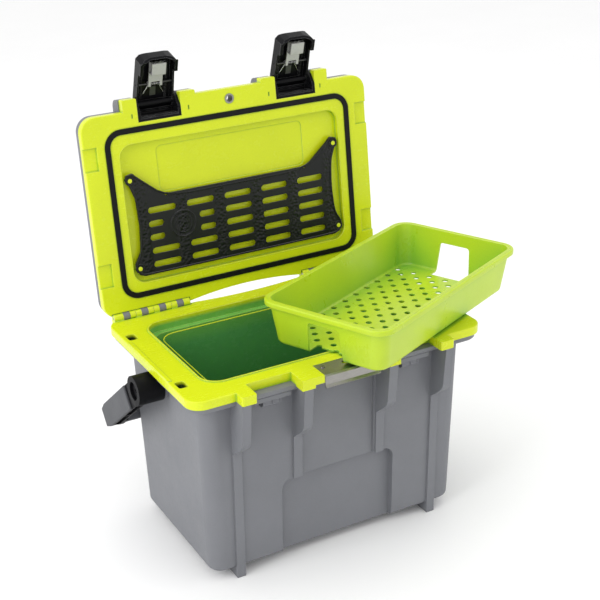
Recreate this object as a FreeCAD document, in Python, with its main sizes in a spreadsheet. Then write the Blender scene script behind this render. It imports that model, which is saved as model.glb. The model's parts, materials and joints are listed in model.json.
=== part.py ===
import FreeCAD, Part
import os
import re
import Sketcher

# Cooler chest: hinged lid, two over-front latches, swinging carry handle and lift-out tray.
# Millimetres. Origin: centre of the base on the floor, X along the length, -Y to the front, Z up.
# Moving pieces are drawn shut, then turned to the resting pose by their Placement.

doc = FreeCAD.newDocument("CoolerChest")
sheet = doc.addObject("Spreadsheet::Sheet", "Dims")

DIMS = {
    # shared: how far a cutting tool runs past a face, and the fit of pins
    "past": 2.0,
    "running_fit": 0.05,
    # rim and lid outline
    "rim_length": 458.0,
    "rim_depth": 293.0,
    "rim_top": 302.6,
    "rim_thick": 13.0,
    "rim_corner": 23.0,
    "rim_edge": 1.6,
    "tab_front": 163.5,
    "tab_outer_far": 165.0,
    "tab_round": 2.5,
    "tab_root": 8.0,
    "tab_drop": 2.3,
    "apron_deep": 4.0,
    "apron_drop": 1.0,
    "seat_lift": 2.2,
    "latch_centre": 110.0,
    "latch_bay": 66.6,
    "bay_back": 131.0,
    "seat_half": 43.0,
    "mid_tab": 57.0,
    "edge_ledge_wide": 6.5,
    "edge_ledge_front": 72.0,
    "edge_ledge_back": 64.0,
    "edge_ledge_rise": 1.0,
    # opening, lip and liner
    "opening_length": 374.0,
    "opening_depth": 214.0,
    "opening_corner": 26.0,
    "lip_wide": 2.3,
    "lip_rise": 1.5,
    "ledge_drop": 14.0,
    "ledge_thick": 3.0,
    "liner_floor": 68.0,
    "liner_length": 342.0,
    "liner_depth": 180.0,
    "liner_taper": 2.45,
    "liner_corner": 24.0,
    "liner_wall": 3.0,
    "well_round": 9.0,
    # strap holes
    "strap_across": 216.0,
    "strap_back": 81.0,
    "strap_front": 88.0,
    "strap_wide": 13.0,
    "strap_long": 19.0,
    "strap_round": 3.5,
    # outer shell
    "foot_lift": 14.0,
    "shell_length": 398.4,
    "shell_depth": 239.2,
    "shell_taper": 1.45,
    "shell_corner": 21.0,
    "shell_edge": 8.0,
    "shell_wall": 3.0,
    "flange_length": 450.0,
    "flange_depth": 289.0,
    "flange_thick": 8.0,
    "flange_chamfer": 2.5,
    "flange_cut": 20.0,
    "rib_proud": 3.0,
    "rib_corner": 2.0,
    "rib_outer_near": 152.0,
    "rib_inner_near": 59.5,
    "rib_inner_far": 73.0,
    "gusset_root": 115.0,
    "gusset_set": 7.0,
    "gusset_slope": 36.0,
    "gusset_front_drop": 78.0,
    "gusset_drop": 102.0,
    "gusset_round": 24.0,
    "panel_half": 91.0,
    "panel_top": 134.0,
    "panel_plane": 110.5,
    "panel_round": 16.0,
    "neck_half": 57.0,
    "neck_plane": 119.5,
    "skid_half": 8.0,
    "skid_reach": 80.0,
    "foam_gap": 0.4,
    "foam_drop": 17.6,
    # hinge
    "hinge_rise": 3.0,
    "knuckle_radius": 6.2,
    "knuckle_start": 202.7,
    "knuckle_pitch": 28.3,
    "knuckle_wide": 10.0,
    "knuckle_gap": 0.35,
    "knuckle_foot": 6.0,
    "foot_gap": 0.2,
    "lug_lift": 2.0,
    "lug_top": 10.4,
    "hinge_far": 217.0,
    "hinge_near": 97.0,
    "hinge_relief": 6.9,
    "hinge_pin": 2.0,
    "back_scallop": 580.0,
    "scallop_deep": 8.0,
    # latch keepers
    "keeper_root": 120.0,
    "bar_half": 27.0,
    "bar_front": 142.5,
    "bar_drop": 27.5,
    "keeper_near": 15.0,
    "keeper_far": 13.0,
    "keeper_front": 137.0,
    "keeper_drop": 39.0,
    "keeper_ramp": 3.0,
    "catch_rib_wide": 2.4,
    "catch_rib_proud": 1.2,
    # lock plate, its screws and the padlock eye
    "plate_step": 2.6,
    "plate_gap": 0.5,
    "plate_setback": 2.0,
    "plate_sheet": 1.8,
    "plate_low": 0.4,
    "plate_front_drop": 14.6,
    "plate_lip_drop": 18.0,
    "plate_lip_out": 3.1,
    "screw_across": 33.0,
    "screw_back": 140.0,
    "screw_radius": 1.6,
    "screw_long": 10.0,
    "screw_head": 3.4,
    "screw_proud": 0.9,
    "slot_half": 2.1,
    "slot_thin": 0.4,
    "padlock_clear": 0.6,
    "padlock_depth": 60.0,
    # lid
    "lid_gap": 2.0,
    "lid_thick": 36.0,
    "pan_thick": 12.0,
    "pan_length": 459.0,
    "cap_inset": 0.8,
    "cap_inset_deep": 0.4,
    "lobe_root": 120.0,
    "lobe_over": 1.5,
    "lobe_in": 4.0,
    "lobe_set": 1.0,
    "lobe_drop": 2.0,
    "lobe_round": 12.0,
    "scoop_half": 26.0,
    "scoop_back": 124.0,
    "lid_centre_front": 157.5,
    "lid_bay_back": 129.5,
    "lid_wall": 3.0,
    "lid_round": 13.0,
    "lid_end_inset": 17.0,
    "top_panel_half": 150.0,
    "top_panel_front": 80.0,
    "top_panel_back": 90.0,
    "top_panel_deep": 1.2,
    "top_panel_round": 18.0,
    "pan_recess": 9.0,
    "recess_half": 178.0,
    "recess_front": 101.5,
    "recess_back": 103.5,
    "recess_round": 20.0,
    "inset_half": 119.0,
    "inset_front": 91.0,
    "inset_back": 23.5,
    "inset_deep": 1.0,
    "inset_round": 8.0,
    "end_cut_wide": 20.0,
    "end_cut_deep": 4.0,
    "slit_half": 1.0,
    "slit_front": 142.5,
    "slit_back": 136.5,
    "gasket_length": 395.0,
    "gasket_depth": 247.5,
    "gasket_shift": 0.25,
    "gasket_wide": 7.5,
    "gasket_proud": 1.6,
    "gasket_bed": 2.8,
    "groove_deep": 3.0,
    "groove_clear": 0.25,
    "gasket_corner": 25.0,
    "eyelet_bore": 9.0,
    "eyelet_setback": 142.5,
    "eyelet_tube": 5.6,
    "eyelet_flange": 7.2,
    "eyelet_proud": 0.7,
    "eyelet_over": 1.4,
    "lid_open": 96.4,
    # slotted storage panel and its rivets
    "panel_sheet": 2.5,
    "panel_lift": 0.2,
    "panel_lip_half": 113.0,
    "panel_lip_near": 164.5,
    "panel_lip_far": 168.5,
    "panel_lip_proud": 0.6,
    "slot_half_long": 22.0,
    "slot_high": 9.5,
    "disc_across": 92.0,
    "disc_up": 119.5,
    "disc_radius": 21.0,
    "disc_proud": 0.5,
    "disc_ring_out": 17.0,
    "disc_ring_in": 15.0,
    "disc_ring_deep": 0.4,
    "ear_corner": 3.0,
    "panel_corner": 6.0,
    "rivet_across": 167.0,
    "rivet_head": 3.2,
    "rivet_shank": 2.0,
    "rivet_long": 8.0,
    "rivet_play": 0.1,
    "post_collar": 5.0,
    # latch bracket
    "ear_thick": 4.1,
    "ear_gap": 0.3,
    "ear_front": 8.5,
    "ear_low_front": 7.0,
    "ear_low": 10.0,
    "ear_round": 7.0,
    "bracket_thick": 4.0,
    "bracket_high": 26.0,
    "bracket_low": 0.4,
    "ridge_proud": 5.6,
    "ridge_pitch": 5.0,
    "ridge_start": 3.0,
    "ridge_thick": 1.6,
    # latch
    "pivot_front": 151.5,
    "pivot_rise": 17.5,
    "latch_wide": 57.6,
    "latch_end_wide": 54.4,
    "latch_long": 76.0,
    "latch_out": 10.0,
    "latch_skin": 2.5,
    "latch_above": 10.0,
    "latch_end_wall": 2.0,
    "latch_end_round": 4.0,
    "latch_bow": 12.0,
    "cheek_low": 3.0,
    "cheek_high": 12.0,
    "cheek_start": 51.0,
    "cheek_lip": 1.2,
    "cheek_lip_wide": 4.4,
    "latch_knee": 9.5,
    "barrel_radius": 4.2,
    "web_half": 1.2,
    "rib_across": 19.0,
    "latch_rib": 1.8,
    "latch_open": 67.5,
    "latch_pin": 2.0,
    # hook and its spring
    "hook_pin": 1.5,
    "hook_along": 30.0,
    "hook_out": 2.0,
    "hook_wide": 21.0,
    "hook_sheet": 2.0,
    "hook_tail": 27.0,
    "hook_end": 67.0,
    "catch_along": 49.0,
    "catch_in": 12.0,
    "hook_eye": 3.4,
    "hook_notch": 7.0,
    "spring_half": 4.5,
    "spring_start": 8.0,
    "spring_bend": 22.0,
    "spring_end": 26.0,
    "spring_sheet": 0.9,
    "spring_fall": 2.8,
    # handle
    "hub_drop": 40.0,
    "hub_radius": 21.5,
    "hub_near": 212.0,
    "hub_gap": 3.0,
    "hub_notch_half": 27.0,
    "arm_near": 231.5,
    "arm_skin": 247.0,
    "arm_far": 250.0,
    "arm_wide": 35.0,
    "arm_reach": 180.0,
    "arm_bend": 28.0,
    "arm_wall": 3.0,
    "grip_radius": 14.0,
    "grip_half": 216.0,
    "grip_skin": 0.8,
    "grip_ring_half": 2.5,
    "grip_pitch": 12.0,
    "socket_half": 222.0,
    "elbow_back": 26.0,
    "post_radius": 10.0,
    "post_long": 8.7,
    "post_foot": 18.0,
    "post_gap": 0.6,
    "post_fit": 0.08,
    "bolt_radius": 4.0,
    "bolt_head": 12.2,
    "bolt_room": 13.0,
    "bolt_seat": 9.8,
    "bolt_thick": 4.7,
    "key_half": 4.0,
    "key_deep": 3.0,
    "pad_start": 38.0,
    "pad_edge": 1.2,
    "handle_rest": 38.0,
    # tray
    "tray_length": 370.0,
    "tray_depth": 208.0,
    "tray_height": 66.5,
    "tray_wall": 2.5,
    "tray_roll": 6.0,
    "roll_high": 7.0,
    "roll_sheet": 2.0,
    "tray_edge": 6.0,
    "tray_taper": 7.5,
    "tray_corner": 20.0,
    "window_half": 29.0,
    "window_top_half": 25.0,
    "window_high": 48.0,
    "window_round": 5.0,
    "window_in": 34.0,
    "tray_hole": 9.0,
    "tray_step_long": 29.2,
    "tray_step_deep": 28.2,
    "tray_shift_x": 137.1,
    "tray_shift_y": 51.3,
    "tray_turn": 24.6,
    "tray_rest_gap": 1.8,
}
for row, (alias, value) in enumerate(DIMS.items(), start=1):
    sheet.set(f"A{row}", str(value))
    sheet.setAlias(f"A{row}", alias)
doc.recompute()

SIDES = (("left", -1), ("right", 1))
XDIR = FreeCAD.Vector(1, 0, 0)
ZDIR = FreeCAD.Vector(0, 0, 1)
AXIS_DIRECTION = {"x": FreeCAD.Vector(1, 0, 0), "y": FreeCAD.Vector(0, 1, 0), "z": FreeCAD.Vector(0, 0, 1)}
ROD_TURN = {
    "x": FreeCAD.Rotation(FreeCAD.Vector(0, 1, 0), 90),
    "y": FreeCAD.Rotation(FreeCAD.Vector(1, 0, 0), -90),
    "z": FreeCAD.Rotation(),
}
PLANE = {"z": "XY_Plane", "y": "XZ_Plane", "x": "YZ_Plane"}


def linked(text):
    """Expression text with every sheet alias pointed at the sheet."""
    return re.sub(r"[a-z_]+", lambda m: "Dims." + m.group(0) if m.group(0) in DIMS else m.group(0), str(text))


def num(text):
    """Present value of an expression over the sheet."""
    return float(sheet.evalExpression(linked(text)))


def bind(item, name, text):
    item.setExpression(name, linked(text))


def minus(text):
    return f"-({text})"


def across(side, near, far):
    """X limits of a piece that lies between near and far from the middle, on one side."""
    if side > 0:
        return (near, far)
    return (minus(far), minus(near))


def box(name, x, y, z):
    """Block between bound limits."""
    item = doc.addObject("Part::Box", name)
    for size, axis, (low, high) in (("Length", "x", x), ("Width", "y", y), ("Height", "z", z)):
        bind(item, size, f"({high})-({low})")
        bind(item, f"Placement.Base.{axis}", low)
    return item


def rod(name, axis, centre, radius, span):
    """Cylinder about a line along one axis; centre gives the two other coordinates in order."""
    item = doc.addObject("Part::Cylinder", name)
    item.Placement = FreeCAD.Placement(FreeCAD.Vector(), ROD_TURN[axis])
    bind(item, "Radius", radius)
    bind(item, "Height", f"({span[1]})-({span[0]})")
    others = [a for a in "xyz" if a != axis]
    bind(item, f"Placement.Base.{axis}", span[0])
    for a, text in zip(others, centre):
        bind(item, f"Placement.Base.{a}", text)
    return item


def fuse(name, items):
    item = doc.addObject("Part::MultiFuse", name)
    item.Shapes = items
    item.Refine = True
    return item


def cut(name, base, tools):
    item = doc.addObject("Part::Cut", name)
    item.Base = base
    item.Tool = tools[0] if len(tools) == 1 else fuse(name + "_tools", tools)
    item.Refine = True
    return item


def common(name, first, second):
    item = doc.addObject("Part::Common", name)
    item.Base = first
    item.Tool = second
    return item


def group(name, items):
    item = doc.addObject("Part::Compound", name)
    item.Links = items
    return item


def origin_plane(body, role):
    for feature in body.Origin.OriginFeatures:
        if feature.Role == role:
            return feature
    raise ValueError(role)


def draw(body, axis, loops, level):
    """Sketch of closed straight-sided loops, square to one axis at a level on it."""
    sketch = body.newObject("Sketcher::SketchObject", body.Name + "_sketch")
    sketch.AttachmentSupport = [(origin_plane(body, PLANE[axis]), "")]
    sketch.MapMode = "FlatFace"
    bind(sketch, "AttachmentOffset.Base.z", minus(level) if axis == "y" else level)
    for loop in loops:
        first = sketch.GeometryCount
        points = [FreeCAD.Vector(num(u), num(v), 0) for u, v in loop]
        count = len(points)
        for k in range(count):
            sketch.addGeometry(Part.LineSegment(points[k], points[(k + 1) % count]), False)
        for k in range(count):
            sketch.addConstraint(
                Sketcher.Constraint("Coincident", first + k, 2, first + (k + 1) % count, 1))
        for k, (u, v) in enumerate(loop):
            for kind, value, text in (("DistanceX", points[k].x, u), ("DistanceY", points[k].y, v)):
                number = sketch.addConstraint(
                    Sketcher.Constraint(kind, -1, 1, first + k, 1, value))
                bind(sketch, f"Constraints[{number}]", text)
    return sketch


def lengthwise_edges(shape, axis, points):
    """Names of the edges that run along the axis from any of the given base points."""
    names = []
    for number, edge in enumerate(shape.Edges, start=1):
        if len(edge.Vertexes) != 2:
            continue
        run = edge.Vertexes[1].Point - edge.Vertexes[0].Point
        if run.Length < 1e-6 or abs(run.normalize().dot(AXIS_DIRECTION[axis])) < 0.9:
            continue
        ends = [v.Point for v in edge.Vertexes]
        if any((end - point).Length < 1e-3 for end in ends for point in points):
            names.append(f"Edge{number}")
    return names


def level_edges(shape, axis, level):
    """Names of the edges that lie wholly in one level square to the axis."""
    names = []
    for number, edge in enumerate(shape.Edges, start=1):
        limits = edge.BoundBox
        low = getattr(limits, axis.upper() + "Min")
        high = getattr(limits, axis.upper() + "Max")
        if abs(low - level) < 1e-3 and abs(high - level) < 1e-3:
            names.append(f"Edge{number}")
    return names


def prism(name, axis, outline, span, rounds=(), taper=None, ends=(), holes=(), hole_round=None):
    """Body padded along an axis from an outline.

    rounds: (radius, corner numbers); ends: (kind, end 0 or 1, size); holes: inner loops, with corners
    rounded by hole_round.
    """
    body = doc.addObject("PartDesign::Body", name)
    start = span[1] if axis == "y" else span[0]
    sketch = draw(body, axis, [outline, *holes], start)
    pad = body.newObject("PartDesign::Pad", name + "_pad")
    pad.Profile = sketch
    bind(pad, "Length", f"({span[1]})-({span[0]})")
    if taper:
        bind(pad, "TaperAngle", taper)
    doc.recompute()
    tip = pad
    sets = [(radius, [outline[k] for k in corners]) for radius, corners in rounds]
    if hole_round:
        sets.append((hole_round, [spot for loop in holes for spot in loop]))
    for radius, spots in sets:
        base = []
        for spot in spots:
            u, v, w = num(spot[0]), num(spot[1]), num(start)
            base.append(FreeCAD.Vector(*{"x": (w, u, v), "y": (u, w, v), "z": (u, v, w)}[axis]))
        feature = body.newObject("PartDesign::Fillet", name + "_corners")
        feature.Base = (tip, lengthwise_edges(tip.Shape, axis, base))
        bind(feature, "Radius", radius)
        doc.recompute()
        tip = feature
    for kind, end, size in ends:
        feature = body.newObject("PartDesign::" + kind, name + "_end")
        feature.Base = (tip, level_edges(tip.Shape, axis, num(span[end])))
        bind(feature, "Size" if kind == "Chamfer" else "Radius", size)
        doc.recompute()
        tip = feature
    return body


def rectangle(x, y):
    return [(x[0], y[0]), (x[1], y[0]), (x[1], y[1]), (x[0], y[1])]


def slab(name, half_x, y, z, corner, taper=None, ends=()):
    """Upright block of rounded plan, centred across, between y limits and z limits."""
    return prism(name, "z", rectangle((minus(half_x), half_x), y), z,
                 rounds=[(corner, (0, 1, 2, 3))], taper=taper, ends=ends)


def turned(angle, y, z):
    """Placement that turns about an X line through y and z."""
    return FreeCAD.Placement(FreeCAD.Vector(), FreeCAD.Rotation(XDIR, angle), FreeCAD.Vector(0, y, z))


# Levels and lines that many pieces share.
TOP = "rim_top"
UNDER = "rim_top-rim_thick"
BACK = "rim_depth/2"
HINGE_Z = "rim_top+hinge_rise"
PAN = "rim_top+lid_gap"
PAN_TOP = "rim_top+lid_gap+pan_thick"
LID_TOP = "rim_top+lid_gap+lid_thick"
LEDGE = "rim_top-ledge_drop"
BAY_NEAR = "latch_centre-latch_bay/2"
BAY_FAR = "latch_centre+latch_bay/2"
HUB_Z = "rim_top-hub_drop"
PIVOT_Z = "rim_top+lid_gap+pivot_rise"
FLANGE_LOW = "rim_top-rim_thick-flange_thick"
SHELL_Z = ("foot_lift", UNDER)
PAN_CUT_Z = (f"{PAN}-past", f"{PAN_TOP}+past")
KNUCKLE_Y = ("rim_depth/2-knuckle_radius", "rim_depth/2+knuckle_radius")
EYE = ("0", "-eyelet_setback")
HUB = ("0", HUB_Z)
PIVOT = ("-pivot_front", PIVOT_Z)

LID_PLACE = turned(-num("lid_open"), num(BACK), num(HINGE_Z))
LATCH_PLACE = LID_PLACE * turned(-num("latch_open"), -num("pivot_front"), num(PIVOT_Z))
HANDLE_PLACE = turned(-num("handle_rest"), 0, num(HUB_Z))

nodes = {}


def keep(label, item, place=None):
    """Register a finished piece under its node name."""
    item.Label = label
    nodes[label] = (item, place)
    return item


def hinge_cells(side, kind):
    """X limits of the hinge lugs on one side: grey and liner lugs stay, pan lugs turn with the lid."""
    grey = "knuckle_start-knuckle_pitch*{k}"
    half = "(knuckle_pitch-knuckle_wide)/2"
    cells = []
    for k in range(4):
        far = grey.format(k=k)
        near = f"{far}-knuckle_wide"
        if kind == "grey":
            cells.append((near, far))
        elif kind == "pan":
            low = "hinge_near" if k == 3 else f"{near}-{half}+knuckle_gap/2"
            cells.append((low, f"{near}-knuckle_gap"))
        elif k == 0:
            cells.append((f"{far}+knuckle_gap/2", "hinge_far"))
        else:
            cells.append((f"{far}+knuckle_gap/2", f"{far}+{half}-knuckle_gap/2"))
    return [across(side, near, far) for near, far in cells]


def lugs(name, kind, foot_y, foot_z):
    """Barrels with a foot block, for both hinge rows."""
    pieces = []
    for word, side in SIDES:
        for k, x in enumerate(hinge_cells(side, kind)):
            tag = f"{name}_{word}_{k}"
            pieces.append(rod(tag + "_barrel", "x", (BACK, HINGE_Z), "knuckle_radius", x))
            pieces.append(box(tag + "_foot", x, foot_y, foot_z))
    return pieces


def hinge_bore(name):
    return [rod(f"{name}_{word}", "x", (BACK, HINGE_Z), "hinge_pin+running_fit",
                across(side, "hinge_near-past", "hinge_far+past")) for word, side in SIDES]


def hinge_clearance(name):
    return [rod(f"{name}_{word}", "x", (BACK, HINGE_Z), "hinge_relief",
                across(side, "hinge_near-past", "hinge_far+past")) for word, side in SIDES]


def scallop(name, z):
    """Shallow arc let into the back edge between the two hinge rows."""
    return rod(name, "z", ("0", "rim_depth/2-scallop_deep+back_scallop"), "back_scallop", z)


def strap_slots(name, z):
    slots = []
    for word, side in SIDES:
        for spot, middle in (("back", "strap_back"), ("front", "-strap_front")):
            x = across(side, "strap_across-strap_wide/2", "strap_across+strap_wide/2")
            y = (f"{middle}-strap_long/2", f"{middle}+strap_long/2")
            slots.append(prism(f"{name}_{word}_{spot}", "z", rectangle(x, y), z,
                               rounds=[("strap_round", (0, 1, 2, 3))]))
    return slots


# ---------------------------------------------------------------- outer shell and foam
tub = slab("shell_tub", "shell_length/2", ("-shell_depth/2", "shell_depth/2"), SHELL_Z,
           "shell_corner", taper="shell_taper", ends=[("Fillet", 0, "shell_edge")])
flange = slab("shell_flange", "flange_length/2", ("-flange_depth/2", "flange_depth/2"),
              (FLANGE_LOW, UNDER), "rim_corner", ends=[("Chamfer", 0, "flange_chamfer")])
band = slab("rib_band", "shell_length/2+rib_proud",
            ("-shell_depth/2-rib_proud", "shell_depth/2+rib_proud"), ("0", UNDER),
            "rib_corner", taper="shell_taper")
gusset_profile = [("-gusset_root", UNDER), ("-tab_front+plate_gap", UNDER),
                  ("-tab_front+gusset_set", "rim_top-gusset_front_drop"),
                  ("-tab_front+gusset_slope", "rim_top-gusset_drop"),
                  ("-gusset_root", "rim_top-gusset_drop")]
rib_boxes = []
gussets = []
for word, side in SIDES:
    outer_x = across(side, "rib_outer_near", "tab_outer_far")
    inner_x = across(side, "rib_inner_near", "rib_inner_far")
    rib_boxes.append(box(f"rib_outer_{word}", outer_x, ("-rim_depth/2", "rim_depth/2"), ("0", UNDER)))
    rib_boxes.append(box(f"rib_inner_{word}", inner_x, ("-rim_depth/2", "rim_depth/2"), ("panel_top", UNDER)))
    for spot, x in (("outer", outer_x), ("inner", inner_x)):
        gussets.append(prism(f"gusset_{spot}_{word}", "x", gusset_profile, x, rounds=[("gusset_round", (2,))]))
ribs = common("shell_ribs", band, fuse("rib_boxes", rib_boxes))


def front_panel(name, grow):
    """Sunken lower front panel and the shallower neck above it, grown by a margin."""
    low = prism(name + "_low", "y",
                rectangle((f"-panel_half-{grow}", f"panel_half+{grow}"), ("0", f"panel_top+{grow}")),
                ("-rim_depth/2", f"-panel_plane+{grow}"), rounds=[("panel_round", (2, 3))])
    neck = box(name + "_neck", (f"-neck_half-{grow}", f"neck_half+{grow}"),
               ("-rim_depth/2", f"-neck_plane+{grow}"), ("panel_top-panel_round", f"{FLANGE_LOW}+{grow}"))
    return [low, neck]


def strap_and_scallop(name, low):
    """Cutters for the strap holes and the back scallop, from a level up past the rim's underside."""
    z = (low, f"{UNDER}+past")
    return [scallop(name + "_scallop", z), *strap_slots(name + "_strap", z)]


outer_mass = cut("shell_mass", fuse("shell_outer", [tub, flange, ribs]), front_panel("front_panel", "0"))
cavity = slab("shell_cavity", "shell_length/2-shell_wall",
              ("-shell_depth/2+shell_wall", "shell_depth/2-shell_wall"),
              ("foot_lift+shell_wall", f"{UNDER}+past"), "shell_corner-shell_wall", taper="shell_taper",
              ends=[("Fillet", 0, "shell_edge-shell_wall")])
hollow = cut("shell_hollow", cavity, front_panel("hollow_panel", "shell_wall"))
hub_notches = [box(f"hub_notch_{word}", across(side, "hub_near-hub_gap", "rim_length/2+past"),
                   ("-hub_notch_half", "hub_notch_half"), (f"{FLANGE_LOW}-past", f"{UNDER}+past"))
               for word, side in SIDES]
padlock_way = rod("padlock_way", "z", EYE, "eyelet_bore/2+padlock_clear",
                  ("rim_top-padlock_depth", f"{TOP}+past"))
low_tabs = []
for word, side in SIDES:
    low_tabs.append(box(f"tab_inner_{word}", across(side, "mid_tab", BAY_NEAR),
                        ("-tab_front", "-bay_back+past"), (f"{UNDER}-tab_drop", TOP)))
    low_tabs.append(box(f"bay_apron_{word}", across(side, BAY_NEAR, BAY_FAR),
                        ("-bay_back", "-bay_back+apron_deep"), (f"{UNDER}-apron_drop", TOP)))
skid = box("centre_skid", ("-skid_half", "skid_half"), ("-skid_reach", "skid_reach"),
           ("0", "foot_lift+past/2"))
keep("outer_shell", cut("shell_cut", fuse("shell_fused", [outer_mass, *gussets, skid]), [
    hollow, *low_tabs, *hub_notches, padlock_way, *strap_and_scallop("flange", f"{UNDER}-flange_cut")]))

liner_skin = slab("foam_liner_space", "liner_length/2+liner_wall+foam_gap",
                  ("-liner_depth/2-liner_wall-foam_gap", "liner_depth/2+liner_wall+foam_gap"),
                  ("liner_floor-liner_wall-foam_gap", f"{UNDER}+past"), "liner_corner", taper="liner_taper")
foam_block = slab("foam_block", "shell_length/2-shell_wall-foam_gap",
                  ("-shell_depth/2+shell_wall+foam_gap", "shell_depth/2-shell_wall-foam_gap"),
                  ("foot_lift+shell_wall+foam_gap", "rim_top-foam_drop"), "shell_corner-shell_wall",
                  taper="shell_taper", ends=[("Fillet", 0, "shell_edge-shell_wall")])
keep("foam_core", cut("foam_core_cut", foam_block,
                      [liner_skin, *front_panel("foam_panel", "(shell_wall+foam_gap)")]))

# ---------------------------------------------------------------- liner with rim and tabs
rim = slab("rim_slab", "rim_length/2", ("-rim_depth/2", "rim_depth/2"), (UNDER, TOP), "rim_corner",
           ends=[("Fillet", 1, "rim_edge"), ("Fillet", 0, "rim_edge")])
rim_cuts = hinge_clearance("rim_relief") + strap_slots("rim_strap", (f"{UNDER}-past", f"{TOP}+past"))
rim_cuts.append(scallop("rim_scallop", (f"{UNDER}-past", f"{TOP}+past")))
for word, side in SIDES:
    rim_cuts.append(box(f"rim_bay_{word}", across(side, BAY_NEAR, BAY_FAR),
                        ("-tab_front", "-bay_back"), (f"{UNDER}-past", f"{TOP}+past")))
rim_parts = [cut("rim_cut", rim, rim_cuts), *low_tabs]
for word, side in SIDES:
    x = across(side, BAY_FAR, "tab_outer_far")
    rim_parts.append(prism(f"tab_outer_{word}", "z", rectangle(x, ("-tab_front", "-rim_depth/2+tab_root")),
                           (UNDER, TOP), rounds=[("tab_round", (0, 1))]))
    rim_parts.append(box(f"tab_mid_{word}", across(side, "seat_half", "mid_tab"),
                         ("-tab_front", "-bay_back"), (f"{UNDER}+seat_lift", TOP)))
    rim_parts.append(box(f"side_ledge_{word}",
                         across(side, "rim_length/2-edge_ledge_wide", "rim_length/2-cap_inset"),
                         ("-edge_ledge_front", "edge_ledge_back"),
                         (f"{TOP}-edge_ledge_rise", f"{TOP}+edge_ledge_rise")))
rim_parts.append(box("plate_seat", ("-seat_half", "seat_half"), ("-tab_front+plate_setback", "-bay_back"),
                     (f"{UNDER}+seat_lift", f"{TOP}-plate_step")))
rim_parts.append(slab("lip", "opening_length/2+lip_wide",
                      ("-opening_depth/2-lip_wide", "opening_depth/2+lip_wide"),
                      (f"{LEDGE}-ledge_thick", f"{TOP}+lip_rise"), "opening_corner+lip_wide"))
rim_parts.append(slab("liner_outside", "liner_length/2+liner_wall",
                      ("-liner_depth/2-liner_wall", "liner_depth/2+liner_wall"),
                      ("liner_floor-liner_wall", LEDGE), "liner_corner", taper="liner_taper"))
rim_parts += lugs("liner_lug", "liner", KNUCKLE_Y, (f"{UNDER}+lug_lift", HINGE_Z))
plate_clear = box("plate_clear", ("-seat_half", "seat_half"), ("-tab_front-past", "-bay_back+plate_gap"),
                  (f"{TOP}-plate_step", f"{TOP}+past"))
opening = slab("opening", "opening_length/2", ("-opening_depth/2", "opening_depth/2"),
               (LEDGE, f"{TOP}+past"), "opening_corner")
well = slab("well", "liner_length/2", ("-liner_depth/2", "liner_depth/2"),
            ("liner_floor", f"{LEDGE}+past"), "liner_corner", taper="liner_taper",
            ends=[("Fillet", 0, "well_round")])
screw_holes = [rod(f"plate_screw_hole_{word}", "z", (f"{side}*screw_across", "-screw_back"),
                   "screw_radius+running_fit", (f"{TOP}-screw_long-past/2", f"{TOP}+past"))
               for word, side in SIDES]
keep("liner", cut("liner_cut", fuse("liner_fused", rim_parts), [
    plate_clear, opening, well, *hinge_bore("liner_bore"), *screw_holes, padlock_way]))

# ---------------------------------------------------------------- hinge rows and pins
for word, side in SIDES:
    pieces = []
    for k, x in enumerate(hinge_cells(side, "grey")):
        tag = f"grey_{word}_{k}"
        barrel = rod(tag + "_barrel", "x", (BACK, HINGE_Z), "knuckle_radius", x)
        neck = box(tag + "_neck", x, ("rim_depth/2+foot_gap", KNUCKLE_Y[1]), (f"{UNDER}-knuckle_foot", HINGE_Z))
        foot = box(tag + "_foot", x, ("flange_depth/2", KNUCKLE_Y[1]),
                   (f"{UNDER}-knuckle_foot", f"{UNDER}-foot_gap"))
        bore = rod(tag + "_bore", "x", (BACK, HINGE_Z), "hinge_pin+running_fit",
                   (f"{x[0]}-past", f"{x[1]}+past"))
        pieces.append(cut(tag, fuse(tag + "_mass", [barrel, neck, foot]), [bore]))
    keep(f"hinge_knuckles_{word}", group(f"grey_row_{word}", pieces))
    keep(f"hinge_pin_{word}", rod(f"pin_{word}", "x", (BACK, HINGE_Z), "hinge_pin",
                                  across(side, "hinge_near", "hinge_far")))

# ---------------------------------------------------------------- latch keepers: catch bar over a ribbed block
for word, side in SIDES:
    x = across(side, "latch_centre-keeper_near", "latch_centre+keeper_far")
    bar = box(f"keeper_bar_{word}", across(side, "latch_centre-bar_half", "latch_centre+bar_half"),
              ("-bar_front", "-keeper_root"), ("rim_top-bar_drop", FLANGE_LOW))
    block = prism(f"keeper_block_{word}", "x",
                  [("-keeper_root", FLANGE_LOW), ("-keeper_front", FLANGE_LOW),
                   ("-keeper_front", "rim_top-keeper_drop+keeper_ramp"),
                   ("-keeper_front+keeper_ramp", "rim_top-keeper_drop"),
                   ("-keeper_root", "rim_top-keeper_drop")], x)
    edges = [box(f"keeper_rib_{word}_{k}", (spot, f"{spot}+catch_rib_wide"),
                 ("-keeper_front-catch_rib_proud", "-keeper_root"),
                 ("rim_top-keeper_drop+keeper_ramp", FLANGE_LOW))
             for k, spot in enumerate((x[0], f"({x[0]}+{x[1]})/2", f"{x[1]}-catch_rib_wide"))]
    keeper_mass = fuse(f"keeper_mass_{word}", [bar, block, *edges])
    keep(f"latch_keeper_{word}", cut(f"keeper_cut_{word}", keeper_mass, [tub]))

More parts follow.
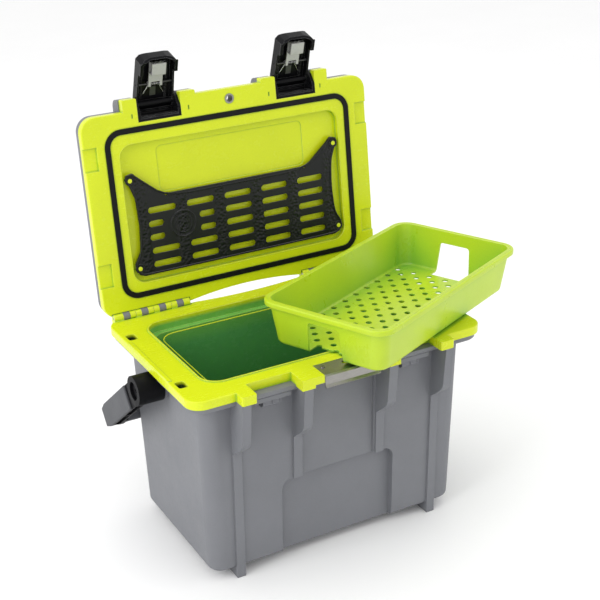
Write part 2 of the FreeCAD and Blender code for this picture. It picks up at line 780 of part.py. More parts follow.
# ---------------------------------------------------------------- lock plate and screws
PLATE_FACE = f"{TOP}-plate_low"
PLATE_BACK = f"{TOP}-plate_step+running_fit"
plate_profile = [("-bay_back", PLATE_FACE), ("-tab_front+plate_setback", PLATE_FACE),
                 ("-tab_front-foot_gap", f"{TOP}-plate_step"), ("-tab_front-foot_gap", f"{TOP}-plate_front_drop"),
                 ("-tab_front-plate_lip_out", f"{TOP}-plate_lip_drop"),
                 ("-tab_front-plate_lip_out+1.4", f"{TOP}-plate_lip_drop-1.2"),
                 ("-tab_front+plate_sheet-foot_gap", f"{TOP}-plate_front_drop-0.8"),
                 ("-tab_front+plate_sheet-foot_gap", PLATE_BACK), ("-bay_back", PLATE_BACK)]
plate = prism("plate_bent", "x", plate_profile, ("-seat_half+plate_gap", "seat_half-plate_gap"))
padlock_hole = rod("padlock_hole", "z", EYE, "eyelet_bore/2", (f"{TOP}-plate_step-past", f"{TOP}+past"))
plate_screw_ways = [rod(f"plate_way_{word}", "z", (f"{side}*screw_across", "-screw_back"),
                        "screw_radius+foot_gap", (f"{TOP}-plate_step-past", f"{TOP}+past"))
                    for word, side in SIDES]
keep("lock_plate", cut("lock_plate_cut", plate, [padlock_hole, *plate_screw_ways]))
screws = []
for word, side in SIDES:
    middle = f"{side}*screw_across"
    spot = (middle, "-screw_back")
    head = rod(f"screw_head_{word}", "z", spot, "screw_head", (PLATE_FACE, f"{TOP}+screw_proud"))
    shank = rod(f"screw_shank_{word}", "z", spot, "screw_radius", (f"{TOP}-screw_long", TOP))
    slots = [box(f"screw_slot_{word}_{k}", (f"{middle}-{along}", f"{middle}+{along}"),
                 (f"-screw_back-{deep}", f"-screw_back+{deep}"), (TOP, f"{TOP}+past"))
             for k, (along, deep) in enumerate((("slot_half", "slot_thin"), ("slot_thin", "slot_half")))]
    screws.append(cut(f"screw_{word}", fuse(f"screw_mass_{word}", [head, shank]), slots))
keep("lock_plate_screws", group("screw_pair", screws))

# ---------------------------------------------------------------- handle posts and bolts
KEY_RISE = "key_half*sin(60)"
for word, side in SIDES:
    stem = rod(f"post_stem_{word}", "x", HUB, "post_radius",
               across(side, "shell_length/2", "arm_near+post_long"))
    foot = rod(f"post_foot_{word}", "x", HUB, "post_foot",
               across(side, "shell_length/2", "hub_near-post_gap"))
    bolt_way = rod(f"post_way_{word}", "x", HUB, "bolt_radius+running_fit", across(side, "hub_near", "arm_far"))
    post_mass = fuse(f"post_mass_{word}", [stem, foot])
    keep(f"handle_post_{word}", cut(f"post_cut_{word}", post_mass, [tub, bolt_way]))
    head = rod(f"bolt_head_{word}", "x", HUB, "bolt_head",
               across(side, "arm_near+bolt_seat", "arm_near+bolt_seat+bolt_thick"))
    shank = rod(f"bolt_shank_{word}", "x", HUB, "bolt_radius",
                across(side, "hub_near+past/2", "arm_near+bolt_seat+foot_gap"))
    hexagon = [("key_half", HUB_Z), ("key_half/2", f"{HUB_Z}+{KEY_RISE}"),
               ("-key_half/2", f"{HUB_Z}+{KEY_RISE}"), ("-key_half", HUB_Z),
               ("-key_half/2", f"{HUB_Z}-{KEY_RISE}"), ("key_half/2", f"{HUB_Z}-{KEY_RISE}")]
    key = prism(f"bolt_socket_{word}", "x", hexagon,
                across(side, "arm_near+bolt_seat+bolt_thick-key_deep", "arm_near+bolt_seat+bolt_thick+past"))
    keep(f"handle_bolt_{word}", cut(f"bolt_{word}", fuse(f"bolt_mass_{word}", [head, shank]), [key]))


# ---------------------------------------------------------------- lid, drawn shut
def bays(name, z):
    """Bays through the lid front for the latches."""
    return [box(f"{name}_{word}", across(side, BAY_NEAR, BAY_FAR), ("-tab_front-past", "-lid_bay_back"), z)
            for word, side in SIDES]


CAP_HALF = "rim_length/2-cap_inset"
CAP_FRONT = "-rim_depth/2+cap_inset_deep"
CAP_CUT_Z = (f"{PAN_TOP}-past/2", f"{LID_TOP}+past")
cap_parts = [slab("cap_slab", CAP_HALF, (CAP_FRONT, "rim_depth/2-cap_inset_deep"), (PAN_TOP, LID_TOP),
                  "rim_corner-lobe_set", ends=[("Fillet", 1, "lid_round")])]
lobe_profile = [("-lobe_root", PAN_TOP), ("-tab_front+lobe_set", PAN_TOP),
                ("-tab_front+lobe_set", f"{LID_TOP}-lobe_drop"), ("-lobe_root", f"{LID_TOP}-lobe_drop")]
for word, side in SIDES:
    for spot, near, far in (("outer", BAY_FAR, "tab_outer_far+lobe_over"),
                            ("inner", "mid_tab-lobe_in", BAY_NEAR)):
        cap_parts.append(prism(f"lobe_{spot}_{word}", "x", lobe_profile, across(side, near, far),
                               rounds=[("lobe_round", (2,))]))
cap_cuts = bays("cap_bay", CAP_CUT_Z)
cap_cuts.append(box("lock_scoop", ("-scoop_half", "scoop_half"), ("-tab_front-past", "-scoop_back"),
                    CAP_CUT_Z))
cap_cuts.append(scallop("cap_scallop", CAP_CUT_Z))
cap_cuts += hinge_clearance("cap_relief")
cap_cuts.append(slab("cap_top_panel", "top_panel_half", ("-top_panel_front", "top_panel_back"),
                     (f"{LID_TOP}-top_panel_deep", f"{LID_TOP}+past"), "top_panel_round"))


def lid_space(name, inset):
    """Space inside the lid cap, clear of the latch bays, the lock scoop and the back scallop."""
    block = slab(name + "_block", f"{CAP_HALF}-{inset}",
                 (f"{CAP_FRONT}+{inset}", f"rim_depth/2-cap_inset_deep-scallop_deep-{inset}"),
                 (f"{PAN_TOP}-lid_wall+{inset}", f"{LID_TOP}-top_panel_deep-{inset}"), "rim_corner-lobe_in")
    high = (f"{PAN_TOP}-lid_wall-past", f"{LID_TOP}+past")
    walls = [box(f"{name}_bay_{word}", across(side, f"{BAY_NEAR}-{inset}", f"{BAY_FAR}+{inset}"),
                 ("-tab_front-past", f"-lid_bay_back+{inset}"), high) for word, side in SIDES]
    walls.append(box(name + "_scoop", (f"-scoop_half-{inset}", f"scoop_half+{inset}"),
                     ("-tab_front-past", f"-scoop_back+{inset}"), high))
    ends = box(name + "_ends", ("-rim_length/2+lid_end_inset", "rim_length/2-lid_end_inset"),
               ("-rim_depth/2", "rim_depth/2"), high)
    return common(name, cut(name + "_cut", block, walls), ends)


cap_cuts.append(lid_space("cap_hollow", "lid_wall"))
keep("lid_shell", cut("cap_done", fuse("cap_mass", cap_parts), cap_cuts), LID_PLACE)
keep("lid_foam", lid_space("lid_foam_block", "(lid_wall+foam_gap)"), LID_PLACE)

# ---------------------------------------------------------------- lid pan with its seal and padlock eyelet
pan = slab("pan_slab", "pan_length/2", ("-rim_depth/2", "rim_depth/2"), (PAN, PAN_TOP), "rim_corner-lobe_set",
           ends=[("Fillet", 0, "rim_edge")])
pan_parts = [cut("pan_blank", pan, [*hinge_clearance("pan_relief"), scallop("pan_scallop", PAN_CUT_Z)])]
for word, side in SIDES:
    for spot, near, far in (("outer", BAY_FAR, "tab_outer_far"), ("inner", "mid_tab-lobe_in", BAY_NEAR)):
        tab = rectangle(across(side, near, far), ("-tab_front", "-lobe_root"))
        pan_parts.append(prism(f"pan_tab_{spot}_{word}", "z", tab, (PAN, PAN_TOP),
                               rounds=[("rib_corner", (0, 1))]))
pan_parts.append(box("pan_middle", ("-mid_tab+lobe_in", "mid_tab-lobe_in"),
                     ("-lid_centre_front", "-lobe_root"), (PAN, PAN_TOP)))
pan_parts += lugs("pan_lug", "pan", KNUCKLE_Y, (HINGE_Z, f"{HINGE_Z}+lug_top"))


def gasket_ring(name, grow, z):
    """Rounded ring for the seal, grown sideways by a margin."""
    rings = []
    for spot, inset in (("outside", f"(-{grow})"), ("inside", f"(gasket_wide+{grow})")):
        rings.append(slab(f"{name}_{spot}", f"gasket_length/2-{inset}",
                          (f"-gasket_depth/2-gasket_shift+{inset}", f"gasket_depth/2-gasket_shift-{inset}"),
                          z, f"gasket_corner-{inset}"))
    return cut(name, rings[0], [rings[1]])


pan_cuts = bays("pan_bay", PAN_CUT_Z)
pan_cuts.append(slab("pan_recess_block", "recess_half", ("-recess_front", "recess_back"),
                     (f"{PAN}-past", f"{PAN}+pan_recess"), "recess_round"))
pan_cuts.append(slab("pan_inner_panel", "inset_half", ("-inset_front", "-inset_back"),
                     (PAN, f"{PAN}+pan_recess+inset_deep"), "inset_round"))
pan_cuts.append(gasket_ring("gasket_groove", "groove_clear", (f"{PAN}-past", f"{PAN}+groove_deep")))
pan_cuts += hinge_bore("pan_bore")
pan_cuts.append(rod("eyelet_way", "z", EYE, "eyelet_tube+running_fit", PAN_CUT_Z))
END_CUTS = (("back", ("64.5", "99.5")), ("front", ("-104.5", "-71")))
SLIT_PLACES = ("65", "152")
for word, side in SIDES:
    for spot, y in END_CUTS:
        pan_cuts.append(box(f"pan_end_{spot}_{word}",
                            across(side, "pan_length/2-end_cut_wide", "pan_length/2+past"), y,
                            (f"{PAN}-past", f"{PAN}+end_cut_deep")))
    for k, spot in enumerate(SLIT_PLACES):
        pan_cuts.append(box(f"pan_slit_{k}_{word}", across(side, f"{spot}-slit_half", f"{spot}+slit_half"),
                            ("-slit_front", "-slit_back"), (f"{PAN}-past", f"{PAN}+past")))
RIVET_SPOTS = [(f"{side}*rivet_across", y) for _, side in SIDES for y in ("-49.3", "81.0")]
posts = [rod(f"panel_post_{k}", "z", spot, "post_collar",
             (f"{PAN}+gasket_bed", f"{PAN}+pan_recess+plate_gap"))
         for k, spot in enumerate(RIVET_SPOTS)]
post_ways = [rod(f"panel_post_way_{k}", "z", spot, "rivet_shank+rivet_play", (PAN, f"{PAN}+pan_recess"))
             for k, spot in enumerate(RIVET_SPOTS)]
pan_body = cut("pan_body", fuse("pan_mass", pan_parts), pan_cuts)
keep("lid_pan", cut("pan_done", fuse("pan_posted", [pan_body, *posts]), post_ways), LID_PLACE)
keep("lid_gasket", gasket_ring("gasket_body", "0", (f"{PAN}-gasket_proud", f"{PAN}+gasket_bed")), LID_PLACE)

eyelet_flange = rod("eyelet_flange", "z", EYE, "eyelet_flange", (f"{PAN}-eyelet_proud", f"{PAN}-running_fit"))
tube = rod("eyelet_tube", "z", EYE, "eyelet_tube", (f"{PAN}-plate_gap", f"{PAN_TOP}+eyelet_over"))
eyelet_bore = rod("eyelet_hole", "z", EYE, "eyelet_bore/2", PAN_CUT_Z)
keep("lock_eyelet", cut("eyelet_done", fuse("eyelet_mass", [eyelet_flange, tube]), [eyelet_bore]), LID_PLACE)

# ---------------------------------------------------------------- slotted storage panel
# Right edge of the panel from its lower corner, round both ears, to the upper edge, as places across
# and up from the hinge line.
RIGHT_EDGE = [(160, 53), (168, 56), (173, 64), (173, 73), (163, 90), (160, 128), (162, 168), (168, 186),
              (174.5, 197), (172, 204), (162, 206), (155, 199), (114, 165)]
left_edge = [(-x, v) for x, v in reversed(RIGHT_EDGE)]
panel_outline = [(str(x), f"rim_depth/2-{v}") for x, v in RIGHT_EDGE + left_edge]
SLOT_COLUMNS = (-122.5, -61.2, 0.0, 61.2, 122.5)
SLOT_ROWS = (147.5, 127.4, 107.3, 87.2, 67.0)
BESIDE_DISC = {0: ("-23", "+0.5"), 1: ("-3.8", "+21.2")}
slot_loops = []
for row, v in enumerate(SLOT_ROWS):
    y = (f"rim_depth/2-{v}-slot_high/2", f"rim_depth/2-{v}+slot_high/2")
    for column, x in enumerate(SLOT_COLUMNS):
        near, far = ("-slot_half_long", "+slot_half_long")
        if row in (1, 2):
            near, far = BESIDE_DISC.get(column, (near, far))
        slot_loops.append(rectangle((f"{x}{near}", f"{x}{far}"), y))
sheet_body = prism("panel_sheet", "z", panel_outline, (f"{PAN}+panel_lift", f"{PAN}+panel_lift+panel_sheet"),
                   rounds=[("panel_corner", (5, 20)), ("ear_corner", (7, 8, 9, 10, 15, 16, 17, 18))],
                   holes=slot_loops, hole_round="slot_high/2-0.15")
edge_lip = box("panel_lip", ("-panel_lip_half", "panel_lip_half"),
               ("rim_depth/2-panel_lip_far", "rim_depth/2-panel_lip_near"),
               (f"{PAN}-panel_lip_proud", f"{PAN}+panel_lift+panel_sheet"))
DISC = ("-disc_across", "rim_depth/2-disc_up")
emblem = rod("panel_disc", "z", DISC, "disc_radius", (f"{PAN}-disc_proud", f"{PAN}+panel_sheet/2"))
emblem_ring = cut("panel_disc_groove",
                  rod("disc_groove_outside", "z", DISC, "disc_ring_out",
                      (f"{PAN}-past", f"{PAN}-disc_proud+disc_ring_deep")),
                  [rod("disc_groove_inside", "z", DISC, "disc_ring_in", (f"{PAN}-2*past", f"{PAN}+past"))])
rivet_ways = [rod(f"rivet_way_{k}", "z", spot, "rivet_shank+panel_lift", (f"{PAN}-past", f"{PAN}+pan_recess"))
              for k, spot in enumerate(RIVET_SPOTS)]
keep("storage_panel", cut("panel_done", fuse("panel_mass", [sheet_body, edge_lip, emblem]),
                          [emblem_ring, *rivet_ways]), LID_PLACE)
rivets = []
for k, spot in enumerate(RIVET_SPOTS):
    head = rod(f"rivet_head_{k}", "z", spot, "rivet_head", (f"{PAN}-1", f"{PAN}+panel_lift"))
    shank = rod(f"rivet_shank_{k}", "z", spot, "rivet_shank", (PAN, f"{PAN}+rivet_long"))
    rivets.append(fuse(f"rivet_{k}", [head, shank]))
keep("panel_rivets", group("rivet_set", rivets), LID_PLACE)

# ---------------------------------------------------------------- latch brackets and pins
EAR_FAR = "(latch_bay/2-ear_gap)"
EAR_NEAR = f"({EAR_FAR}-ear_thick)"
BRACKET_Z = (f"{PAN}+bracket_low", f"{PAN}+bracket_high")
ear_profile = [("-lid_bay_back-1", BRACKET_Z[0]), ("-pivot_front+ear_low_front", BRACKET_Z[0]),
               ("-pivot_front-ear_front", f"{PAN}+ear_low"), ("-pivot_front-ear_front", BRACKET_Z[1]),
               ("-lid_bay_back-1", BRACKET_Z[1])]
for word, side in SIDES:
    middle = f"{side}*latch_centre"
    bracket_x = (f"{middle}-{EAR_FAR}", f"{middle}+{EAR_FAR}")
    back = box(f"bracket_back_{word}", bracket_x, ("-lid_bay_back-bracket_thick", "-lid_bay_back-running_fit*2"),
               BRACKET_Z)
    ridges = []
    for k in range(5):
        level = f"{PAN}+ridge_start+{k}*ridge_pitch"
        ridges.append(box(f"bracket_ridge_{word}_{k}", bracket_x,
                          ("-lid_bay_back-ridge_proud", "-lid_bay_back-1"), (level, f"{level}+ridge_thick")))
    ears = [prism(f"bracket_ear_{word}_{k}", "x", ear_profile, (f"{middle}+{near}", f"{middle}+{far}"),
                  rounds=[("ear_round", (2, 3))])
            for k, (near, far) in enumerate(((minus(EAR_FAR), minus(EAR_NEAR)), (EAR_NEAR, EAR_FAR)))]
    bore = rod(f"bracket_bore_{word}", "x", PIVOT, "latch_pin+running_fit",
               (f"{middle}-latch_bay/2-past", f"{middle}+latch_bay/2+past"))
    bracket_mass = fuse(f"bracket_mass_{word}", [back, *ridges, *ears])
    keep(f"latch_bracket_{word}", cut(f"bracket_{word}", bracket_mass, [bore]), LID_PLACE)
    pin = rod(f"latch_pin_rod_{word}", "x", PIVOT, "latch_pin", bracket_x)
    keep(f"latch_pin_{word}", group(f"latch_pin_piece_{word}", [pin]), LID_PLACE)


# ---------------------------------------------------------------- latches, drawn shut
def out(text):
    """Y of a distance outward from the latch pivot."""
    return f"-pivot_front-({text})"


def down(text):
    """Z of a distance along the latch from its pivot."""
    return f"{PIVOT_Z}-({text})"


def side_prism(name, points, x, rounds=()):
    """Body of a side profile given as (along the latch, outward) points."""
    return prism(name, "x", [(out(b), down(a)) for a, b in points], x, rounds=rounds)


def latch_plan(name, middle, inset, y):
    """Plan seen from the front: wide at the pivot, narrower and bowed at the free end."""
    wide, end = f"(latch_wide/2-{inset})", f"(latch_end_wide/2-{inset})"
    edge = [(wide, "-latch_above-past"), (wide, "latch_above"), (end, f"latch_long-8-{inset}"),
            (f"({end}-5)", f"latch_long-2.6-{inset}"), ("latch_bow", f"latch_long-0.3-{inset}")]
    left = [(f"{middle}-{c}", down(a)) for c, a in edge]
    right = [(f"{middle}+{c}", down(a)) for c, a in reversed(edge)]
    return prism(name, "y", left + right, y, rounds=[("latch_end_round", (3, 6))])


LATCH_INNER = "latch_out-latch_skin"
HOOK_AXIS = (out("hook_out"), down("hook_along"))
for word, side in SIDES:
    middle = f"{side}*latch_centre"
    beyond = (f"{middle}-latch_bay/2", f"{middle}+latch_bay/2")
    latch_side = [("latch_long", "latch_out"), ("-latch_above", "latch_out"), ("-latch_above", "-cheek_low"),
                  ("cheek_start-past", "-cheek_low"), ("cheek_start", "-cheek_high"),
                  ("latch_long-5", "-cheek_high"), ("latch_long", "-cheek_high/2")]
    room_side = [("latch_long-latch_end_wall", LATCH_INNER), ("-latch_above+latch_skin", LATCH_INNER),
                 ("-latch_above+latch_skin", "-cheek_high-past"), ("latch_long+past", "-cheek_high-past"),
                 ("latch_long+past", "cheek_low"), ("latch_long-latch_end_wall", "cheek_low")]
    solid = common(f"latch_solid_{word}",
                   side_prism(f"latch_side_{word}", latch_side, beyond,
                              rounds=[("latch_knee", (1,)), ("latch_end_round", (0, 4))]),
                   latch_plan(f"latch_plan_{word}", middle, "0", (out("20"), out("-20"))))
    room = common(f"latch_room_{word}",
                  side_prism(f"latch_hollow_{word}", room_side, beyond,
                             rounds=[("latch_knee-latch_skin", (1,))]),
                  latch_plan(f"latch_inner_plan_{word}", middle, "latch_skin", (out("20"), out("-20"))))
    inner_x = (f"{middle}-latch_wide/2+latch_skin/2", f"{middle}+latch_wide/2-latch_skin/2")
    barrel = rod(f"latch_barrel_{word}", "x", PIVOT, "barrel_radius", inner_x)
    web = box(f"latch_web_{word}", inner_x, (out(f"{LATCH_INNER}+1"), out("0")),
              (down("web_half"), down("-web_half")))
    stiffeners = []
    lips = []
    for k, sign in enumerate((-1, 1)):
        rib_middle = f"{middle}+{sign}*rib_across"
        stiffeners.append(box(f"latch_rib_{word}_{k}",
                              (f"{rib_middle}-latch_rib/2", f"{rib_middle}+latch_rib/2"),
                              (out(f"{LATCH_INNER}+1"), out(f"{LATCH_INNER}-spring_fall")),
                              (down("latch_long-4"), down("2"))))
        lip_x = across(sign, "latch_end_wide/2+cheek_lip-cheek_lip_wide", "latch_end_wide/2+cheek_lip")
        lips.append(box(f"latch_lip_{word}_{k}", tuple(f"{middle}+{x}" for x in lip_x),
                        (out("-cheek_high+past"), out("-cheek_high")),
                        (down("latch_long-7"), down("cheek_start+1"))))
    bores = [rod(f"latch_bore_{word}", "x", PIVOT, "latch_pin+running_fit", beyond),
             rod(f"latch_hook_bore_{word}", "x", HOOK_AXIS, "hook_pin+running_fit", beyond)]
    shell = cut(f"latch_shell_{word}", solid, [room])
    latch_mass = fuse(f"latch_mass_{word}", [shell, barrel, web, *stiffeners, *lips])
    keep(f"latch_body_{word}", cut(f"latch_done_{word}", latch_mass, bores), LATCH_PLACE)
    hook_axle = rod(f"hook_rod_{word}", "x", HOOK_AXIS, "hook_pin", inner_x)
    keep(f"hook_pin_{word}", group(f"hook_pin_piece_{word}", [hook_axle]), LATCH_PLACE)
    strip = [("spring_start", f"{LATCH_INNER}-0.1"), ("spring_start", f"{LATCH_INNER}-spring_sheet"),
             ("spring_bend", f"{LATCH_INNER}-spring_sheet"),
             ("spring_end-spring_sheet/2", f"{LATCH_INNER}-spring_sheet-spring_fall+0.5"),
             ("spring_end+spring_sheet/2", f"{LATCH_INNER}-spring_fall+0.1"),
             ("spring_bend+0.6", f"{LATCH_INNER}-0.1")]
    keep(f"latch_spring_{word}", side_prism(f"spring_strip_{word}", strip,
                                            (f"{middle}-spring_half", f"{middle}+spring_half")), LATCH_PLACE)
    hook_side = [("hook_tail", "0"), ("hook_end", "0"), ("hook_end", "-hook_sheet"),
                 ("catch_along+hook_sheet", "-hook_sheet"),
                 ("catch_along+hook_sheet", "-catch_in+hook_sheet"),
                 ("hook_end", "-catch_in+hook_sheet"), ("hook_end", "-catch_in"),
                 ("catch_along", "-catch_in"), ("catch_along", "-hook_sheet"), ("hook_tail", "-hook_sheet")]
    hook_x = (f"{middle}-hook_wide/2", f"{middle}+hook_wide/2")
    hook_plate = side_prism(f"hook_plate_{word}", hook_side, hook_x, rounds=[("1.2", (4, 7))])
    notch = box(f"hook_notch_{word}", (f"{middle}-hook_notch", f"{middle}+hook_notch"),
                (out("past"), out("-hook_sheet-past")),
                (down("hook_along+barrel_radius"), down("hook_tail-past")))
    eyes = [rod(f"hook_eye_{word}_{k}", "x", HOOK_AXIS, "hook_eye", (f"{middle}{near}", f"{middle}{far}"))
            for k, (near, far) in enumerate((("-hook_wide/2", "-hook_notch"), ("+hook_notch", "+hook_wide/2")))]
    hook_bore = rod(f"hook_bore_{word}", "x", HOOK_AXIS, "hook_pin+running_fit", beyond)
    hook_mass = fuse(f"hook_mass_{word}", [cut(f"hook_cut_{word}", hook_plate, [notch]), *eyes])
    keep(f"latch_hook_{word}", cut(f"hook_done_{word}", hook_mass, [hook_bore]), LATCH_PLACE)

# ---------------------------------------------------------------- carry handle, drawn level
SOCKET_LOW = "arm_reach-grip_radius+1"
SOCKET_HIGH = "arm_reach+grip_radius-1"
ARM_LOW = f"{HUB_Z}-arm_wide/2"
ARM_HIGH = f"{HUB_Z}+arm_wide/2"
elbow_plan = [("arm_near", "0"), ("arm_skin", "0"), ("arm_skin", "arm_reach-10"), ("socket_half", SOCKET_HIGH),
              ("grip_half", SOCKET_HIGH), ("grip_half", SOCKET_LOW), ("socket_half", SOCKET_LOW),
              ("arm_near", "arm_reach-elbow_back")]
beam_side = [("0", ARM_LOW), ("arm_reach-arm_bend", ARM_LOW), ("arm_reach-8", f"{HUB_Z}-grip_radius+past"),
             ("arm_reach-8", f"{HUB_Z}+grip_radius-past"), ("arm_reach-arm_bend", ARM_HIGH), ("0", ARM_HIGH)]
pad_side = [("pad_start", ARM_LOW), ("arm_reach-arm_bend", ARM_LOW), ("arm_reach-12", f"{HUB_Z}-grip_radius"),
            ("arm_reach-12", f"{HUB_Z}+grip_radius"), ("arm_reach-arm_bend", ARM_HIGH), ("pad_start", ARM_HIGH)]
POCKETS = (("28", "88"), ("91.5", "150"))
for word, side in SIDES:
    hub = rod(f"hub_{word}", "x", HUB, "hub_radius", across(side, "hub_near", "arm_far"))
    plan = [(f"{side}*{x}", y) for x, y in elbow_plan]
    elbow = prism(f"elbow_{word}", "z", plan, (f"{HUB_Z}-grip_radius+1", f"{HUB_Z}+grip_radius-1"))
    beam = prism(f"beam_{word}", "x", beam_side, across(side, "arm_near", "arm_skin"))
    pockets = [box(f"arm_pocket_{word}_{k}", across(side, "arm_near+arm_wall", "arm_skin-arm_wall"), y,
                   (f"{ARM_LOW}-past", f"{ARM_HIGH}-arm_wall")) for k, y in enumerate(POCKETS)]
    axle_way = rod(f"arm_way_{word}", "x", HUB, "post_radius+post_fit",
                   across(side, "hub_near-past", "arm_far"))
    bolt_room = rod(f"arm_bolt_room_{word}", "x", HUB, "bolt_room",
                    across(side, "arm_near+bolt_seat-plate_gap", "arm_far+past"))
    keep(f"handle_arm_{word}", cut(f"arm_{word}", fuse(f"arm_mass_{word}", [hub, elbow, beam]),
                                   [axle_way, bolt_room, *pockets]), HANDLE_PLACE)
    outer_face = 1 if side > 0 else 0
    keep(f"handle_arm_pad_{word}", prism(f"pad_{word}", "x", pad_side, across(side, "arm_skin", "arm_far"),
                                         ends=[("Fillet", outer_face, "pad_edge")]), HANDLE_PLACE)
bar = rod("grip_bar", "x", ("arm_reach", HUB_Z), "grip_radius-grip_skin", ("-grip_half", "grip_half"))
rings = [rod(f"grip_ring_{k}", "x", ("arm_reach", HUB_Z), "grip_radius",
             (f"{k}*grip_pitch-grip_ring_half", f"{k}*grip_pitch+grip_ring_half")) for k in range(-7, 8)]
keep("handle_grip", fuse("grip", [bar, *rings]), HANDLE_PLACE)

# ---------------------------------------------------------------- lift-out tray, drawn centred
LEAN = "tray_height*tan(tray_taper)"
FOOT_LONG = f"tray_length/2-tray_roll-{LEAN}"
FOOT_DEEP = f"tray_depth/2-tray_roll-{LEAN}"
basket = slab("tray_outside", FOOT_LONG, (minus(FOOT_DEEP), FOOT_DEEP), ("0", "tray_height"), "tray_corner",
              taper="tray_taper", ends=[("Fillet", 0, "tray_edge")])
space = slab("tray_inside", f"{FOOT_LONG}-tray_wall",
             (minus(f"{FOOT_DEEP}-tray_wall"), f"{FOOT_DEEP}-tray_wall"),
             ("tray_wall", "tray_height+past/2"), "tray_corner-tray_wall", taper="tray_taper",
             ends=[("Fillet", 0, "tray_edge-roll_sheet")])
roll = slab("tray_roll_out", "tray_length/2", ("-tray_depth/2", "tray_depth/2"),
            ("tray_height-roll_high", "tray_height"), "tray_corner+tray_roll",
            ends=[("Fillet", 1, "roll_sheet")])
roll_room = slab("tray_roll_in", "tray_length/2-roll_sheet",
                 ("-tray_depth/2+roll_sheet", "tray_depth/2-roll_sheet"),
                 ("tray_height-roll_high-past", "tray_height-tray_wall"), "tray_corner+tray_roll-roll_sheet")
window_side = [("-window_half", "-past"), ("window_half", "-past"),
               ("window_top_half", "window_high"), ("-window_top_half", "window_high")]
windows = [prism(f"tray_window_{word}", "x", window_side,
                 across(side, "tray_length/2-window_in", "tray_length/2+past"),
                 rounds=[("window_round", (2, 3))]) for word, side in SIDES]
# Two interleaved grids of drain holes: first place along, count along, first place across, count across.
HOLE_GRIDS = ((-151.1, 11, -60.0, 6), (-136.5, 10, -74.1, 6))
holes = []
for k, (first_x, count_x, first_y, count_y) in enumerate(HOLE_GRIDS):
    for column in range(count_x):
        for line in range(count_y):
            holes.append(rod(f"tray_hole_{k}_{column}_{line}", "z",
                             (f"{first_x}+tray_step_long*{column}", f"{first_y}+tray_step_deep*{line}"),
                             "tray_hole/2", ("-past", "tray_wall+past")))
tray_mass = fuse("tray_mass", [basket, cut("tray_rolled", roll, [roll_room])])
tray_place = FreeCAD.Placement(
    FreeCAD.Vector(num("tray_shift_x"), -num("tray_shift_y"), num("rim_top+tray_rest_gap")),
    FreeCAD.Rotation(ZDIR, num("tray_turn")))
tray_open = cut("tray_open", tray_mass, [space, *windows])
keep("tray", cut("tray_done", tray_open, [group("tray_holes", holes)]), tray_place)

# ---------------------------------------------------------------- place, check and write
doc.recompute()
for item, place in nodes.values():
    if place is not None:
        item.Placement = place
doc.recompute()
faults = [f"{item.Label}: {item.State}" for item in doc.Objects
          if "Invalid" in item.State or "Error" in item.State]
for label, (item, _) in nodes.items():
    if item.Shape.isNull() or not item.Shape.isValid() or item.Shape.Volume <= 0:
        faults.append(f"{label}: no valid solid")
if faults:
    raise RuntimeError("; ".join(faults))
os.makedirs("parts", exist_ok=True)
for label, (item, _) in nodes.items():
    item.Shape.exportStep(f"parts/{label}.step")
    limits = item.Shape.BoundBox
    print(f"{label:24s} solids {len(item.Shape.Solids):3d} volume {item.Shape.Volume / 1000:9.2f} cm3 "
          f"x {limits.XMin:.1f}..{limits.XMax:.1f} y {limits.YMin:.1f}..{limits.YMax:.1f} "
          f"z {limits.ZMin:.1f}..{limits.ZMax:.1f}")
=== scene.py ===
import json
import math

import bpy
import bmesh
from mathutils import Matrix, Vector


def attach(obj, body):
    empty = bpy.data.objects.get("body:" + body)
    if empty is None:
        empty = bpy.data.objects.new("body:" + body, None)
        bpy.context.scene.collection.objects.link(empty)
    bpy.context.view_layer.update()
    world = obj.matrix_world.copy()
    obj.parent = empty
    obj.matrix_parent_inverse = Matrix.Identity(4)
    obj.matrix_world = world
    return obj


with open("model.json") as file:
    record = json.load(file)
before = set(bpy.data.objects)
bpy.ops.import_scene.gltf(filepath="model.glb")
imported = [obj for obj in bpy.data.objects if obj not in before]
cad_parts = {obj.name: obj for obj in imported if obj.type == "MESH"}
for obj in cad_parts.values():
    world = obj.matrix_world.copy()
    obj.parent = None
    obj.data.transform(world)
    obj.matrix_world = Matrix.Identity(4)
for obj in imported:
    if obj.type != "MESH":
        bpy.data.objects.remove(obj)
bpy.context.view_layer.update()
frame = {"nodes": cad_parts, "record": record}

# Looks, small trim, floor, light and camera for the open cooler chest. The solids stay where the frame
# puts them. Places of the trim are in millimetres, as in the solids' source, and lengths inside materials
# are in metres.


MM = 0.001

# ---------------------------------------------------------------- places shared with the solids
# (y, z) centres of the turns, heights of the faces, and the degrees of the photographed pose
RIM_TOP = 302.6
HINGE = (146.5, RIM_TOP + 3.0)
PAN_FACE = RIM_TOP + 2.0
LID_TURN = -96.4
LATCH_TURN = -67.5
LATCH_MID = 110.0
PIVOT = (-151.5, PAN_FACE + 17.5)
EYE_MIDDLE = Vector((0.0, -142.5, PAN_FACE + 7.0))
TRAY_PLACE = Matrix.Translation((137.1, -51.3, RIM_TOP + 1.8)) @ Matrix.Rotation(math.radians(24.6), 4, "Z")


def turn(degrees, centre):
    """Turn about an X line through a (y, z) centre, in millimetres."""
    there = Matrix.Translation((0, centre[0], centre[1]))
    return there @ Matrix.Rotation(math.radians(degrees), 4, "X") @ there.inverted()


CHEST_PLACE = Matrix.Identity(4)
LID_PLACE = turn(LID_TURN, HINGE)
LATCH_PLACE = LID_PLACE @ turn(LATCH_TURN, PIVOT)


def lid_at(x, v, w):
    """Point of the shut lid: v from the hinge edge, w out from the inner face."""
    return Vector((x, HINGE[0] - v, PAN_FACE + w))


def latch_at(side, c, a, b):
    """Point of a shut latch: c across, a down from the pivot, b outward."""
    return Vector((side * LATCH_MID + c, PIVOT[0] - b, PIVOT[1] - a))


